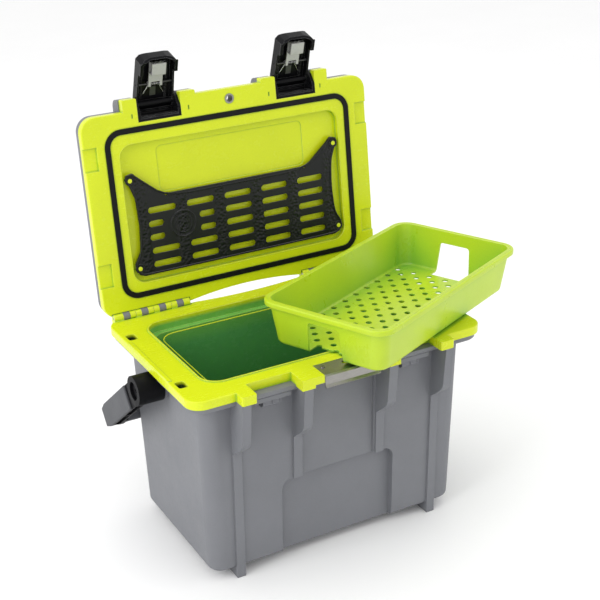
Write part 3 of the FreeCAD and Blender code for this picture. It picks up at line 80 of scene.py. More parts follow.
# ---------------------------------------------------------------- node graphs
# the factor, first and second sockets of a colour mix node
MIX_SLOTS = (0, 6, 7)


class Graph:
    """Small helper that lays out one node material. A value is a fixed one or a (node, output) pair."""

    def __init__(self, name):
        self.material = bpy.data.materials.new(name)
        self.material.use_nodes = True
        self.tree = self.material.node_tree
        self.tree.nodes.clear()
        self.output = self.add("ShaderNodeOutputMaterial")
        self.shader = self.add("ShaderNodeBsdfPrincipled")
        self.join(self.shader, "BSDF", self.output, "Surface")
        self.place = self.add("ShaderNodeTexCoord")

    def add(self, kind, **values):
        node = self.tree.nodes.new(kind)
        for key, value in values.items():
            setattr(node, key, value)
        return node

    def join(self, source, out, target, into):
        self.tree.links.new(source.outputs[out], target.inputs[into])

    def give(self, node, slot, value):
        """Feed one socket of a node."""
        if isinstance(value, tuple) and len(value) == 2:
            self.join(value[0], value[1], node, slot)
        else:
            node.inputs[slot].default_value = value

    def noise(self, scale, detail, rough, stretch=None):
        """Height of a noise over the object's place, stretched along the axes if asked."""
        node = self.add("ShaderNodeTexNoise")
        node.inputs["Scale"].default_value = scale
        node.inputs["Detail"].default_value = detail
        node.inputs["Roughness"].default_value = rough
        if stretch:
            shape = self.add("ShaderNodeMapping")
            shape.inputs["Scale"].default_value = stretch
            self.join(self.place, "Object", shape, "Vector")
            self.join(shape, "Vector", node, "Vector")
        else:
            self.join(self.place, "Object", node, "Vector")
        return (node, "Fac")

    def ramp(self, value, low, high):
        """Ramp between two stops, each a position with a grey level or a colour."""
        node = self.add("ShaderNodeValToRGB")
        for element, (position, tone) in zip(node.color_ramp.elements, (low, high)):
            element.position = position
            element.color = tone if isinstance(tone, tuple) else (tone, tone, tone, 1.0)
        self.give(node, "Fac", value)
        return (node, "Color")

    def math(self, operation, first, second):
        """Sum, product or another operation on two values."""
        node = self.add("ShaderNodeMath", operation=operation)
        self.give(node, 0, first)
        self.give(node, 1, second)
        return (node, "Value")

    def vector(self, operation, out, *entries):
        """Operation on one or two vectors, and the output that holds its result."""
        node = self.add("ShaderNodeVectorMath", operation=operation)
        for slot, value in enumerate(entries):
            self.give(node, slot, value)
        return (node, out)

    def axes(self):
        """X, Y and Z of the place."""
        node = self.add("ShaderNodeSeparateXYZ")
        self.join(self.place, "Object", node, "Vector")
        return [(node, axis) for axis in "XYZ"]

    def near(self, value, middle, reach):
        """1 where the value is within reach of the middle, else 0."""
        shift = self.math("SUBTRACT", value, middle)
        return self.math("LESS_THAN", self.math("ABSOLUTE", shift, 0.0), reach)

    def both(self, first, second):
        """1 where both factors are 1."""
        return self.math("MULTIPLY", first, second)

    def span(self, value, low, high):
        """0 at low and 1 at high, limited."""
        node = self.add("ShaderNodeMapRange")
        self.give(node, "Value", value)
        node.inputs["From Min"].default_value = low
        node.inputs["From Max"].default_value = high
        return (node, "Result")

    def mix(self, factor, first, second, blend="MIX"):
        """Mix of two colours."""
        node = self.add("ShaderNodeMix", data_type="RGBA", blend_type=blend)
        for slot, value in zip(MIX_SLOTS, (factor, first, second)):
            self.give(node, slot, value)
        return (node, "Result")

    def bump(self, height, normal, distance, strength=1.0):
        """Normal with a relief of the given depth over it."""
        node = self.add("ShaderNodeBump")
        node.inputs["Distance"].default_value = distance
        node.inputs["Strength"].default_value = strength
        self.give(node, "Height", height)
        self.give(node, "Normal", normal)
        return (node, "Normal")

    def rounded(self, radius):
        """Normal with every edge rounded by a radius."""
        node = self.add("ShaderNodeBevel", samples=4)
        node.inputs["Radius"].default_value = radius
        return (node, "Normal")


def rgba(colour):
    return (colour[0], colour[1], colour[2], 1.0)


def scaled(colour, factor):
    """The colour made darker or lighter, each channel at most 1."""
    return tuple(min(channel * factor, 1.0) for channel in colour) + (1.0,)


# ---------------------------------------------------------------- colours
GREY = (0.185, 0.190, 0.207)
LIME = (0.675, 0.765, 0.012)
# pale of rubbed lime edges, also a painted edge highlight
LIME_PALE = (0.85, 0.90, 0.22)
# painted shade of the lime in closed-in places
LIME_SHADE = (0.26, 0.52, 0.03)
LIME_GLOW = (1.0, 1.0, 0.15)
# painted shade inside the well, upper and deep, and in the strap holes
WELL_UPPER_SHADE = (0.19, 0.50, 0.085)
WELL_DEEP_SHADE = (0.105, 0.38, 0.105)
STRAP_HOLE_SHADE = (0.03, 0.05, 0.012)
TRAY_LIME = (0.50, 0.66, 0.020)
# pale of rubbed tray edges, also a painted edge highlight
TRAY_PALE = (0.75, 0.88, 0.25)
# painted shade of the tray in closed-in places
TRAY_SHADE = (0.20, 0.47, 0.05)
TRAY_GLOW = (0.8, 1.0, 0.12)
FOAM = (0.80, 0.76, 0.60)
BLACK = (0.006, 0.006, 0.007)
PANEL_BLACK = (0.007, 0.008, 0.008)
# painted light on the storage panel's up-facing faces
PANEL_TOP_LIGHT = (0.085, 0.087, 0.09)
PAD_GREY = (0.085, 0.088, 0.096)
STEEL = (0.33, 0.32, 0.30)
DARK_STEEL = (0.10, 0.10, 0.10)
BRIGHT_STEEL = (0.62, 0.62, 0.62)
ZINC = (0.46, 0.46, 0.45)
# painted shade in the bore of the padlock eye
BORE_SHADE = (0.02, 0.02, 0.02)

# ---------------------------------------------------------------- places of a finish and of painted shade and light, in metres
STRAP_HOLE_X = 0.216
STRAP_HOLE_BACK = 0.081
STRAP_HOLE_FRONT = -0.088
STRAP_HOLE_HALF = (0.0068, 0.0098)
STRAP_HOLE_FADE = (0.3016, 0.2970)
WELL_HALF = (0.1885, 0.1085)
WELL_TOP_FADE = (0.3020, 0.2965)
WELL_DEEP_FADE = (0.2900, 0.2620)
FLANGE_MIDDLE = 0.28
FLANGE_REACH = 0.03
EYE_SHADE_RADIUS = 0.0047
PANEL_BAND_PITCH = 0.031
PANEL_BAND_FADE = (0.020, 0.026)


def strap_holes(g):
    """1 inside the four strap holes through the rim and its flange."""
    x, y, _ = g.axes()
    outer = g.near(g.math("ABSOLUTE", x, 0.0), STRAP_HOLE_X, STRAP_HOLE_HALF[0])
    back = g.near(y, STRAP_HOLE_BACK, STRAP_HOLE_HALF[1])
    front = g.near(y, STRAP_HOLE_FRONT, STRAP_HOLE_HALF[1])
    return g.both(outer, g.math("MAXIMUM", back, front))


def liner_zones(g, base):
    """Painted shade: the well turns deep green below the rim, and the strap holes are dark."""
    x, y, z = g.axes()
    inside = g.both(g.near(x, 0.0, WELL_HALF[0]), g.near(y, 0.0, WELL_HALF[1]))
    upper = g.mix(g.both(inside, g.span(z, *WELL_TOP_FADE)), base, rgba(WELL_UPPER_SHADE))
    deep = g.mix(g.both(inside, g.span(z, *WELL_DEEP_FADE)), upper, rgba(WELL_DEEP_SHADE))
    dark = g.both(strap_holes(g), g.span(z, *STRAP_HOLE_FADE))
    return g.mix(dark, deep, rgba(STRAP_HOLE_SHADE))


def shell_zones(g, base):
    """Painted shade: strap holes through the flange are dark."""
    _, _, z = g.axes()
    dark = g.both(strap_holes(g), g.near(z, FLANGE_MIDDLE, FLANGE_REACH))
    return g.mix(dark, base, scaled(GREY, 0.12))


def eye_bore_shade(g, base):
    """Painted shade: the bore of the lid's padlock eye is dark, all along its axis."""
    middle = LID_PLACE @ EYE_MIDDLE * MM
    axis = (LID_PLACE.to_3x3() @ Vector((0.0, 0.0, 1.0))).normalized()
    shift = g.vector("SUBTRACT", "Vector", (g.place, "Object"), middle)
    cross = g.vector("CROSS_PRODUCT", "Vector", shift, axis)
    off = g.vector("LENGTH", "Value", cross)
    return g.mix(g.math("LESS_THAN", off, EYE_SHADE_RADIUS), base, rgba(BORE_SHADE))


def panel_zones(g, base):
    """Faces that look up on the storage panel get a painted lighter grey, as if lit from above."""
    split = g.add("ShaderNodeSeparateXYZ")
    g.join(g.place, "Normal", split, "Vector")
    return g.mix(g.span((split, "Z"), 0.75, 0.95), base, rgba(PANEL_TOP_LIGHT))


def panel_relief(g, normal):
    """Scaly relief in the bands between the slots of the storage panel."""
    cells = g.add("ShaderNodeTexVoronoi", feature="SMOOTH_F1")
    cells.inputs["Scale"].default_value = 230.0
    cells.inputs["Smoothness"].default_value = 0.35
    g.join(g.place, "Object", cells, "Vector")
    x, _, _ = g.axes()
    bands = g.span(g.math("PINGPONG", x, PANEL_BAND_PITCH), *PANEL_BAND_FADE)
    height = g.math("MULTIPLY", (cells, "Distance"), bands)
    return g.bump(height, normal, distance=0.0016, strength=0.8)


# ---------------------------------------------------------------- finishes, with painted shade and painted edge highlights
def nook_shade(g, base, shade, reach):
    """Painted shade: tint the places that are closed in within reach, found by ambient occlusion."""
    closed = g.add("ShaderNodeAmbientOcclusion", samples=6)
    closed.inputs["Distance"].default_value = reach
    shut = g.ramp((closed, "AO"), (0.35, 1.0), (0.95, 0.0))
    return g.mix(shut, base, rgba(shade))


def worn_and_highlit_edges(g, base, round_normal, amount, pale):
    """Pale patches where the rounded normal leaves the true one: rubbed edges, and painted highlights along
    the edges.
    """
    true_normal = g.add("ShaderNodeNewGeometry")
    facing = g.vector("DOT_PRODUCT", "Value", round_normal, (true_normal, "Normal"))
    edge = g.ramp(facing, (0.88, 1.0), (0.992, 0.0))
    patches = g.ramp(g.noise(scale=70.0, detail=6.0, rough=0.7), (0.30, 0.0), (0.55, 1.0))
    worn_and_lit = g.math("MULTIPLY", edge, patches)
    return g.mix(g.math("MULTIPLY", worn_and_lit, amount), base, rgba(pale))


def scuffed_roughness(g, rough, spread, scuff):
    """Roughness with a broad drift and long scuffs."""
    broad = g.noise(scale=16.0, detail=4.0, rough=0.6)
    drift = g.ramp(broad, (0.3, rough - spread), (0.7, rough + spread))
    strokes = g.noise(scale=60.0, detail=8.0, rough=0.75, stretch=(1.0, 5.0, 1.6))
    scuffs = g.ramp(strokes, (0.52, 0.0), (0.7, scuff))
    return g.math("MINIMUM", g.math("ADD", drift, scuffs), 0.95)


def moulded(name, colour, rough, grain, grain_deep, bevel, wear, wear_colour, spread=0.06, spec=0.5,
            shade=0.88, tint=1.08, scuff=0.10, wave_deep=0.0, coat=0.0, glow=0.0, glow_reach=None,
            nook=None, nook_reach=None, zones=None, relief=None):
    """Moulded plastic or rubber: cloudy colour, fine grain, scuffs, rubbed edges with painted edge
    highlights, painted shade where asked, and a small edge radius.
    """
    g = Graph(name)
    clouds = g.noise(scale=9.0, detail=5.0, rough=0.6)
    base = g.ramp(clouds, (0.3, scaled(colour, shade)), (0.7, scaled(colour, tint)))
    # painted shade in closed-in places, if asked
    if nook:
        base = nook_shade(g, base, nook, nook_reach)
    # painted shade and light by place, if asked
    if zones:
        base = zones(g, base)
    grains = g.noise(scale=grain, detail=3.0, rough=0.7)
    flecked = g.mix(1.0, base, g.ramp(grains, (0.35, 0.93), (0.65, 1.0)), "MULTIPLY")
    round_normal = g.rounded(bevel)
    normal = g.bump(grains, round_normal, grain_deep)
    if wave_deep:
        normal = g.bump(g.noise(scale=22.0, detail=2.0, rough=0.5), normal, wave_deep)
    if relief:
        normal = relief(g, normal)
    g.give(g.shader, "Base Color", worn_and_highlit_edges(g, flecked, round_normal, wear, wear_colour))
    g.give(g.shader, "Roughness", scuffed_roughness(g, rough, spread, scuff))
    g.give(g.shader, "Normal", normal)
    g.give(g.shader, "Specular IOR Level", spec)
    if coat:
        g.give(g.shader, "Coat Weight", coat)
        g.give(g.shader, "Coat Roughness", 0.12)
    if glow:
        g.give(g.shader, "Subsurface Weight", glow)
        g.give(g.shader, "Subsurface Radius", glow_reach)
        g.give(g.shader, "Subsurface Scale", 0.006)
    return g.material


def metal(name, colour, rough, spread=0.08, brushed=(2.0, 60.0, 60.0), stain=0.25, shine=1.0, zones=None):
    """Worked metal: fine brushing, dull stains and rounded edges."""
    g = Graph(name)
    lines = g.noise(scale=55.0, detail=6.0, rough=0.7, stretch=brushed)
    tone = g.ramp(lines, (0.3, scaled(colour, 0.8)), (0.7, scaled(colour, 1.15)))
    stains = g.ramp(g.noise(scale=35.0, detail=5.0, rough=0.65), (0.5, 0.0), (0.72, stain))
    base = g.mix(stains, tone, scaled(colour, 0.45))
    # painted shade by place, if asked
    if zones:
        base = zones(g, base)
    g.give(g.shader, "Base Color", base)
    g.give(g.shader, "Metallic", shine)
    g.give(g.shader, "Roughness", g.ramp(lines, (0.25, rough - spread), (0.75, rough + spread)))
    g.give(g.shader, "Normal", g.bump(lines, g.rounded(0.0004), 0.00003))
    return g.material


def glossy_lime(name, **changes):
    """The lime of the liner and of the lid's pan."""
    return moulded(name, LIME, rough=0.24, spread=0.05, grain=700.0, grain_deep=0.00002, bevel=0.0014,
                   spec=0.38, wear_colour=LIME_PALE, coat=0.05, glow=0.12, glow_reach=LIME_GLOW,
                   nook=LIME_SHADE, **changes)


MATERIALS = {
    "shell_grey": moulded(
        "shell_grey_look", GREY, rough=0.50, grain=1300.0, grain_deep=0.00008, bevel=0.0012, spec=0.4,
        shade=0.94, tint=1.05, wear=0.3, wear_colour=scaled(GREY, 1.7), scuff=0.12, zones=shell_zones),
    "lime": glossy_lime(
        "lime_look", wave_deep=0.0002, wear=0.55, nook_reach=0.006, shade=0.95, tint=1.03, zones=liner_zones),
    "lid_lime": glossy_lime(
        "lid_lime_look", wave_deep=0.0003, wear=0.5, nook_reach=0.003, shade=0.94, tint=1.03),
    "tray_lime": moulded(
        "tray_lime_look", TRAY_LIME, rough=0.30, spread=0.05, grain=800.0, grain_deep=0.00003,
        wave_deep=0.0001, bevel=0.0010, shade=0.95, tint=1.04, wear=0.5, wear_colour=TRAY_PALE,
        glow=0.2, glow_reach=TRAY_GLOW, nook=TRAY_SHADE, nook_reach=0.07),
    "foam": moulded(
        "foam_look", FOAM, rough=0.85, spread=0.05, grain=400.0, grain_deep=0.0003, bevel=0.0009,
        wear=0.1, wear_colour=scaled(FOAM, 1.7), scuff=0.15),
    "steel": metal("steel_look", STEEL, rough=0.32, zones=eye_bore_shade),
    "pin_steel": metal("pin_look", DARK_STEEL, rough=0.35),
    "spring_steel": metal(
        "spring_look", BRIGHT_STEEL, rough=0.25, spread=0.05, brushed=(20.0, 20.0, 4.0), shine=0.8),
    "strip_steel": metal("strip_look", DARK_STEEL, rough=0.45, brushed=(4.0, 30.0, 30.0)),
    "hook_zinc": metal("hook_look", ZINC, rough=0.50, brushed=(30.0, 30.0, 30.0), stain=0.35, shine=0.35),
    "hub_black": moulded(
        "hub_look", BLACK, rough=0.46, grain=900.0, grain_deep=0.00002, bevel=0.0010, spec=0.08,
        wear=0.1, wear_colour=(0.12, 0.12, 0.13)),
    # pale edges of the latches are painted highlights
    "latch_black": moulded(
        "latch_look", BLACK, rough=0.20, spread=0.05, grain=900.0, grain_deep=0.00002, bevel=0.0005,
        spec=0.10, wear=0.6, wear_colour=(0.40, 0.40, 0.41)),
    "panel_black": moulded(
        "panel_look", PANEL_BLACK, rough=0.30, grain=1100.0, grain_deep=0.00004, bevel=0.0008, spec=0.3,
        wear=0.2, wear_colour=(0.06, 0.06, 0.065), zones=panel_zones, relief=panel_relief),
    "pad_grey": moulded(
        "pad_look", PAD_GREY, rough=0.60, grain=1500.0, grain_deep=0.0001, bevel=0.0015, spec=0.35,
        wear=0.25, wear_colour=(0.16, 0.16, 0.17)),
    "gasket": moulded(
        "gasket_look", BLACK, rough=0.45, grain=1200.0, grain_deep=0.00004, bevel=0.0008, spec=0.16,
        wear=0.1, wear_colour=(0.04, 0.04, 0.04)),
}

# nodes whose look differs from that of their material slot
NODE_LOOKS = {"lid_pan": "lid_lime", "hook_pin_left": "pin_steel", "hook_pin_right": "pin_steel",
              "latch_spring_left": "strip_steel", "latch_spring_right": "strip_steel"}


def dress_nodes():
    """Give every CAD node its finish."""
    slots = {entry["node"]: entry["material_slot"] for entry in frame["record"]["subparts"]}
    for node, item in frame["nodes"].items():
        look = MATERIALS[NODE_LOOKS.get(node, slots[node])]
        for place in item.material_slots:
            place.material = look
        if not item.material_slots:
            item.data.materials.append(look)


# ---------------------------------------------------------------- mesh helpers
def add_piece(name, mesh, body, slot, look=None, smooth=True):
    """Put a mesh in the scene as a piece of trim that rides on a body."""
    item = bpy.data.objects.new(name, mesh)
    bpy.context.scene.collection.objects.link(item)
    mesh.materials.append(MATERIALS[look or slot])
    for face in mesh.polygons:
        face.use_smooth = smooth
    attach(item, body)
    return item


def tube_rings(points, radius, closed, sides):
    """Rings of points round a path, each turned as little as possible from the one before."""
    count = len(points)
    normal = None
    rings = []
    for k in range(count):
        before = points[(k - 1) % count] if closed or k > 0 else points[k]
        after = points[(k + 1) % count] if closed or k < count - 1 else points[k]
        along = (after - before).normalized()
        if normal is None:
            helper = Vector((0, 0, 1)) if abs(along.z) < 0.9 else Vector((1, 0, 0))
            normal = along.cross(helper).normalized()
        normal = (normal - along * normal.dot(along)).normalized()
        other = along.cross(normal)
        ring = []
        for s in range(sides):
            angle = 2 * math.pi * s / sides
            ring.append(points[k] + normal * (radius * math.cos(angle)) + other * (radius * math.sin(angle)))
        rings.append(ring)
    return rings


def tube(name, points, radius, closed, place, body, slot, look=None, sides=10):
    """Round bead along a path given in millimetres, then placed."""
    rings = tube_rings(points, radius, closed, sides)
    count = len(rings)
    faces = []
    for k in range(count if closed else count - 1):
        here = k * sides
        there = ((k + 1) % count) * sides
        for s in range(sides):
            beside = (s + 1) % sides
            faces.append((here + s, here + beside, there + beside, there + s))
    if not closed:
        faces.append(tuple(range(sides - 1, -1, -1)))
        faces.append(tuple((count - 1) * sides + s for s in range(sides)))
    mesh = bpy.data.meshes.new(name)
    mesh.from_pydata([tuple(place @ spot * MM) for ring in rings for spot in ring], [], faces)
    mesh.update()
    return add_piece(name, mesh, body, slot, look)


def circle(middle, radius, count):
    """Points round a circle."""
    angles = [2 * math.pi * k / count for k in range(count)]
    return [(middle[0] + radius * math.cos(t), middle[1] + radius * math.sin(t)) for t in angles]


def rounded_loop(half_x, low_y, high_y, radius, steps=8):
    """Points round a rectangle with round corners."""
    spots = []
    for cx, cy, start in ((half_x - radius, high_y - radius, 0), (-half_x + radius, high_y - radius, 90),
                          (-half_x + radius, low_y + radius, 180), (half_x - radius, low_y + radius, 270)):
        for k in range(steps + 1):
            angle = math.radians(start + 90 * k / steps)
            spots.append((cx + radius * math.cos(angle), cy + radius * math.sin(angle)))
    return spots


def smooth_path(spots, passes=2, share=0.2):
    """Closed path with its corners cut, so that a bead turns gently."""
    for _ in range(passes):
        cut = []
        for k, (x0, y0) in enumerate(spots):
            x1, y1 = spots[(k + 1) % len(spots)]
            cut.append((x0 * (1 - share) + x1 * share, y0 * (1 - share) + y1 * share))
            cut.append((x0 * share + x1 * (1 - share), y0 * share + y1 * (1 - share)))
        spots = cut
    return spots


def extrude_profile(name, profile, middle, half, place, body, slot, bevel):
    """Strip whose (y, z) profile runs along X to a half length each side, with softened edges."""
    mesh = bpy.data.meshes.new(name)
    count = len(profile)
    verts = [(middle + end, y, z) for end in (-half, half) for y, z in profile]
    faces = [tuple(range(count - 1, -1, -1)), tuple(range(count, 2 * count))]
    faces += [(k, (k + 1) % count, count + (k + 1) % count, count + k) for k in range(count)]
    mesh.from_pydata(verts, [], faces)
    build = bmesh.new()
    build.from_mesh(mesh)
    bmesh.ops.recalc_face_normals(build, faces=build.faces)
    bmesh.ops.bevel(build, geom=build.edges[:], offset=bevel, segments=2, affect="EDGES")
    build.to_mesh(mesh)
    build.free()
    mesh.transform(place)
    mesh.transform(Matrix.Scale(MM, 4))
    mesh.update()
    return add_piece(name, mesh, body, slot, smooth=False)


# ---------------------------------------------------------------- beads on the gasket, rim, lid and tray
# outlines: half length, front, back, corner radius
GASKET_OUTLINE = (197.5, -124.0, 123.5, 25.0)
GASKET_BEAD_INSETS = {"gasket_bead_outer": 1.3, "gasket_bead_inner": 6.2}
LIP_OUTLINE = (188.2, -108.2, 108.2, 27.0)
LEDGE_OUTLINE = (171.6, -90.6, 90.6, 24.0)
RECESS_OUTLINE = (178.0, -101.5, 103.5, 20.0)
TRAY_OUTLINE = (180.4, -99.4, 99.4, 22.0)
GASKET_BEAD_HEIGHT = PAN_FACE - 0.9
LIP_HEIGHT = RIM_TOP + 0.55
LEDGE_HEIGHT = RIM_TOP - 13.8
RECESS_HEIGHT = PAN_FACE + 0.6
TRAY_RIM_HEIGHT = 66.0
# radii of the beads
GASKET_BEAD = 0.85
LIP_BEAD = 1.1
THIN_BEAD = 0.9


def loop_bead(name, outline, height, radius, place, body, slot, look=None):
    """Closed bead at one height round an outline."""
    path = [Vector((x, y, height)) for x, y in rounded_loop(*outline)]
    return tube(name, path, radius, True, place, body, slot, look)


def add_beads():
    """Beads on the gasket, at the opening's lip and its ledge, in the lid and on the tray's rim."""
    half, front, back, corner = GASKET_OUTLINE
    for name, inset in GASKET_BEAD_INSETS.items():
        outline = (half - inset, front + inset, back - inset, corner - inset)
        loop_bead(name, outline, GASKET_BEAD_HEIGHT, GASKET_BEAD, LID_PLACE, "lid", "gasket")
    loop_bead("rim_lip_bead", LIP_OUTLINE, LIP_HEIGHT, LIP_BEAD, CHEST_PLACE, "chest", "lime")
    loop_bead("ledge_bead", LEDGE_OUTLINE, LEDGE_HEIGHT, THIN_BEAD, CHEST_PLACE, "chest", "lime", "lid_lime")
    loop_bead("pan_recess_bead", RECESS_OUTLINE, RECESS_HEIGHT, THIN_BEAD, LID_PLACE, "lid", "lime",
              "lid_lime")
    loop_bead("tray_rim_bead", TRAY_OUTLINE, TRAY_RIM_HEIGHT, THIN_BEAD, TRAY_PLACE, "tray", "tray_lime")


# ---------------------------------------------------------------- border and emblem of the storage panel
# (x, v) points of the outline's right half, from the middle of its hinge side
PANEL_EDGE = [(0, 54.5), (159, 54.5), (167, 57.4), (171.5, 64.6), (171.5, 72.6), (161.6, 89.5), (158.5, 128),
              (160.6, 168.4), (166.6, 186.8), (173, 197.2), (171, 202.6), (162.6, 204.5), (156, 198),
              (114.6, 163.8), (0, 163.8)]
EMBLEM = (-92.0, 119.5)
EMBLEM_LEVEL = -0.5
# ring radius and bead radius
EMBLEM_RINGS = {"emblem_ring_outer": (19.4, 1.1), "emblem_ring_inner": (13.0, 0.8)}
EMBLEM_POINTS = 40
DROP_HALF = (5.6, 8.2)
DROP_POINTS = 28
EAR_X = 167.0
EAR_V = (195.8, 65.5)
EAR_RING = 6.2
EAR_POINTS = 28
EAR_LEVEL = 0.2
BORDER_LEVEL = 0.3
BORDER_BEAD = 1.5


def panel_bead(name, spots, level, radius):
    """Closed bead on the storage panel through (x, v) spots."""
    path = [lid_at(x, v, level) for x, v in spots]
    return tube(name, path, radius, True, LID_PLACE, "lid", "panel_black")


def drop_outline():
    """Drop in the middle of the emblem, narrower towards one end."""
    spots = []
    for k in range(DROP_POINTS):
        t = 2 * math.pi * k / DROP_POINTS
        across = DROP_HALF[0] * math.sin(t) * (1 - 0.45 * math.cos(t))
        spots.append((EMBLEM[0] + across, EMBLEM[1] + DROP_HALF[1] * math.cos(t)))
    return spots


def add_panel_trim():
    """The panel's raised border, its plain round emblem and a ring round each rivet."""
    outline = PANEL_EDGE + [(-x, v) for x, v in reversed(PANEL_EDGE[1:-1])]
    panel_bead("panel_border", smooth_path(outline), BORDER_LEVEL, BORDER_BEAD)
    for name, (radius, thick) in EMBLEM_RINGS.items():
        panel_bead(name, circle(EMBLEM, radius, EMBLEM_POINTS), EMBLEM_LEVEL, thick)
    panel_bead("emblem_drop", drop_outline(), EMBLEM_LEVEL, THIN_BEAD)
    ears = [(side * EAR_X, v) for side in (-1, 1) for v in EAR_V]
    for k, ear in enumerate(ears):
        panel_bead(f"panel_ear_ring_{k}", circle(ear, EAR_RING, EAR_POINTS), EAR_LEVEL, THIN_BEAD)


# ---------------------------------------------------------------- small parts inside and on the latches
# (down, outward) from the latch's pivot to the coil's axis
COIL_AXIS = (30.0, 2.0)
COIL_HALF = 7.4
COIL_RADIUS = 2.5
COIL_TURNS = 6
COIL_STEPS = 16
COIL_WIRE = 0.45
LEG_WIRE = 0.7
# (across, down, outward) places of a spring leg, from the coil to the hook's edge
COIL_LEG = ((7.6, 30.0, 4.4), (9.0, 24.0, 5.2), (14.5, 14.0, 6.0), (16.0, 11.5, 6.2))
GRIP_COUNT = 6
GRIP_FIRST = 47.0
GRIP_PITCH = 4.6
GRIP_HALF = 19.5
GRIP_NARROWS = 0.3
GRIP_ROOT = 9.6
GRIP_CREST = 11.0
CLIP_HALF = 10.2
CLIP_STEPS = 24
CLIP_DOWN = 67.9
CLIP_THICK = 0.9
CLIP_WAVES = 3
CLIP_WAVE_HEIGHT = 0.8
# (down, inward) steps of the sheet clip as it wraps the hook's free end
CLIP_ROWS = ((0.0, 1.2), (-1.6, 3.4), (-1.0, 6.4), (1.2, 9.2))
APRON_HALF = 28.6
# (y, height over the pan's face) of the strip that closes the bracket
APRON_PROFILE = ((-133.5, 22.6), (-138.4, 22.6), (-140.4, 23.4), (-140.4, 24.6), (-139.4, 25.4),
                 (-133.5, 25.4))


def add_hook_spring(word, side):
    """Coil across the hook's root, with a leg towards each of its edges."""
    body = f"latch_{word}"
    last = COIL_TURNS * COIL_STEPS
    coil = []
    for k in range(last + 1):
        t = 2 * math.pi * k / COIL_STEPS
        across = -COIL_HALF + 2 * COIL_HALF * k / last
        down = COIL_AXIS[0] + COIL_RADIUS * math.cos(t)
        coil.append(latch_at(side, across, down, COIL_AXIS[1] + COIL_RADIUS * math.sin(t)))
    tube(f"hook_coil_{word}", coil, COIL_WIRE, False, LATCH_PLACE, body, "spring_steel", sides=6)
    for k, sign in enumerate((-1, 1)):
        leg = [latch_at(side, sign * c, a, b) for c, a, b in COIL_LEG]
        tube(f"hook_coil_leg_{word}_{k}", leg, LEG_WIRE, False, LATCH_PLACE, body, "spring_steel", sides=8)


def add_grip_ribs(word, side):
    """Low ribs across the outside of the latch, each a little shorter than the one before."""
    root = PIVOT[0] - GRIP_ROOT
    crest = PIVOT[0] - GRIP_CREST
    for k in range(GRIP_COUNT):
        z = PIVOT[1] - GRIP_FIRST - GRIP_PITCH * k
        profile = [(root, z + 1.3), (crest, z + 0.5), (crest, z - 0.5), (root, z - 1.3)]
        extrude_profile(f"latch_grip_{word}_{k}", profile, side * LATCH_MID, GRIP_HALF - GRIP_NARROWS * k,
                        LATCH_PLACE, f"latch_{word}", "latch_black", bevel=0.3)


def add_hook_clip(word, side):
    """Wavy sheet clip that wraps the free end of the hook."""
    wave = []
    for k in range(CLIP_STEPS + 1):
        t = k / CLIP_STEPS
        down = CLIP_DOWN + CLIP_WAVE_HEIGHT * math.cos(2 * math.pi * CLIP_WAVES * t)
        wave.append((-CLIP_HALF + 2 * CLIP_HALF * t, down))
    verts = []
    for lower, inward in CLIP_ROWS:
        verts += [tuple(LATCH_PLACE @ latch_at(side, c, a + lower, -inward) * MM) for c, a in wave]
    count = len(wave)
    faces = [(r * count + k, r * count + k + 1, (r + 1) * count + k + 1, (r + 1) * count + k)
             for r in range(len(CLIP_ROWS) - 1) for k in range(count - 1)]
    sheet = bpy.data.meshes.new(f"hook_clip_{word}")
    sheet.from_pydata(verts, [], faces)
    sheet.update()
    clip = add_piece(f"hook_clip_{word}", sheet, f"hook_{word}", "hook_zinc", "pin_steel")
    thick = clip.modifiers.new("thick", "SOLIDIFY")
    thick.thickness = CLIP_THICK * MM
    thick.offset = 0.0


def add_bracket_apron(word, side):
    """Strip that closes the bracket behind the latch's barrel."""
    profile = [(y, PAN_FACE + height) for y, height in APRON_PROFILE]
    extrude_profile(f"bracket_apron_{word}", profile, side * LATCH_MID, APRON_HALF, LID_PLACE, "lid",
                    "latch_black", bevel=0.4)


# ---------------------------------------------------------------- floor, light and camera, in metres
FLOOR_HALF = 14.0
FLOOR_DROP = 0.0004
WORLD_STRENGTH = 0.95
LAMP_TARGET = Vector((0.02, 0.02, 0.30))
# place, side of the square, and power in watts
LAMPS = {"key": ((-2.7, -0.5, 1.9), 1.7, 37.0), "fill": ((2.3, -1.3, 1.3), 1.8, 6.0),
         "top": ((0.2, 0.4, 2.6), 1.6, 10.0)}
CAMERA_SPOT = (-0.7886, -1.4648, 1.0770)
CAMERA_YAW = math.radians(28.65)
CAMERA_PITCH = math.radians(23.92)
CAMERA_ROLL = math.radians(-1.44)
# focal length and sensor width in millimetres
FOCAL_LENGTH = 76.85
SENSOR_WIDTH = 36.0


def add_floor():
    """Pale studio floor, a hair below the chest's runners."""
    g = Graph("floor_look")
    clouds = g.noise(scale=3.0, detail=3.0, rough=0.5)
    g.give(g.shader, "Base Color", g.ramp(clouds, (0.3, 0.97), (0.7, 0.985)))
    g.give(g.shader, "Roughness", 0.9)
    mesh = bpy.data.meshes.new("floor")
    spots = [(x * FLOOR_HALF, y * FLOOR_HALF, 0) for x, y in ((-1, -1), (1, -1), (1, 1), (-1, 1))]
    mesh.from_pydata(spots, [], [(0, 1, 2, 3)])
    mesh.materials.append(g.material)
    floor = bpy.data.objects.new("floor", mesh)
    floor.location = (0, 0, -FLOOR_DROP)
    bpy.context.scene.collection.objects.link(floor)


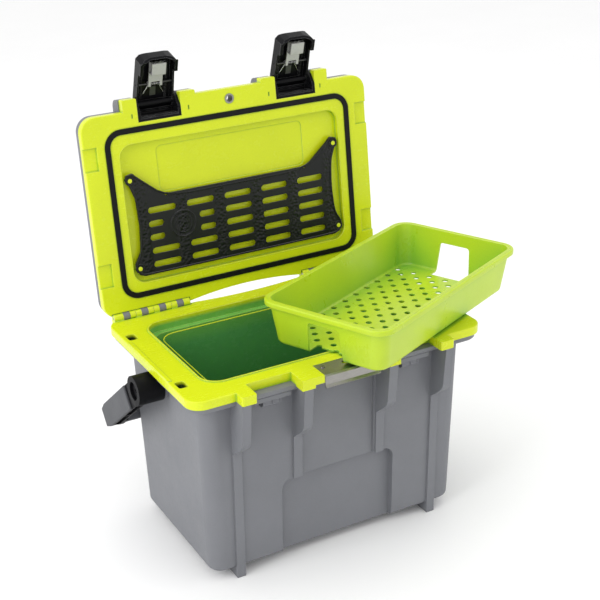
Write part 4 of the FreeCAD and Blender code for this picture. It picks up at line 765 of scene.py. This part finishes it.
def add_world():
    """Even white surroundings."""
    world = bpy.data.worlds.new("studio")
    bpy.context.scene.world = world
    world.use_nodes = True
    background = world.node_tree.nodes["Background"]
    background.inputs["Color"].default_value = (1.0, 1.0, 1.0, 1.0)
    background.inputs["Strength"].default_value = WORLD_STRENGTH


def add_lamps():
    """Square soft boxes that all face the chest."""
    for name, (spot, size, power) in LAMPS.items():
        lamp = bpy.data.lights.new(name, "AREA")
        lamp.shape = "SQUARE"
        lamp.size = size
        lamp.energy = power
        light = bpy.data.objects.new(name, lamp)
        light.location = spot
        light.rotation_mode = "QUATERNION"
        light.rotation_quaternion = (LAMP_TARGET - Vector(spot)).to_track_quat("-Z", "Y")
        bpy.context.scene.collection.objects.link(light)


def add_camera():
    """Camera that stands where the photo was taken from."""
    level = math.cos(CAMERA_PITCH)
    ahead = Vector((math.sin(CAMERA_YAW) * level, math.cos(CAMERA_YAW) * level, -math.sin(CAMERA_PITCH)))
    across = Vector((math.cos(CAMERA_YAW), -math.sin(CAMERA_YAW), 0.0))
    above = across.cross(ahead)
    right = across * math.cos(CAMERA_ROLL) + above * math.sin(CAMERA_ROLL)
    up = above * math.cos(CAMERA_ROLL) - across * math.sin(CAMERA_ROLL)
    lens = bpy.data.cameras.new("camera")
    lens.lens = FOCAL_LENGTH
    lens.sensor_width = SENSOR_WIDTH
    lens.clip_start = 0.05
    lens.clip_end = 60.0
    camera = bpy.data.objects.new("camera", lens)
    turned = Matrix((right, up, -ahead)).transposed().to_4x4()
    camera.matrix_world = Matrix.Translation(CAMERA_SPOT) @ turned
    bpy.context.scene.collection.objects.link(camera)
    bpy.context.scene.camera = camera


# ---------------------------------------------------------------- the scene
dress_nodes()
add_beads()
add_panel_trim()
for word, side in (("left", -1), ("right", 1)):
    add_hook_spring(word, side)
    add_grip_ribs(word, side)
    add_hook_clip(word, side)
    add_bracket_apron(word, side)
add_floor()
add_world()
add_lamps()
add_camera()
bpy.context.scene.view_settings.view_transform = "Standard"
bpy.context.scene.view_settings.look = "None"
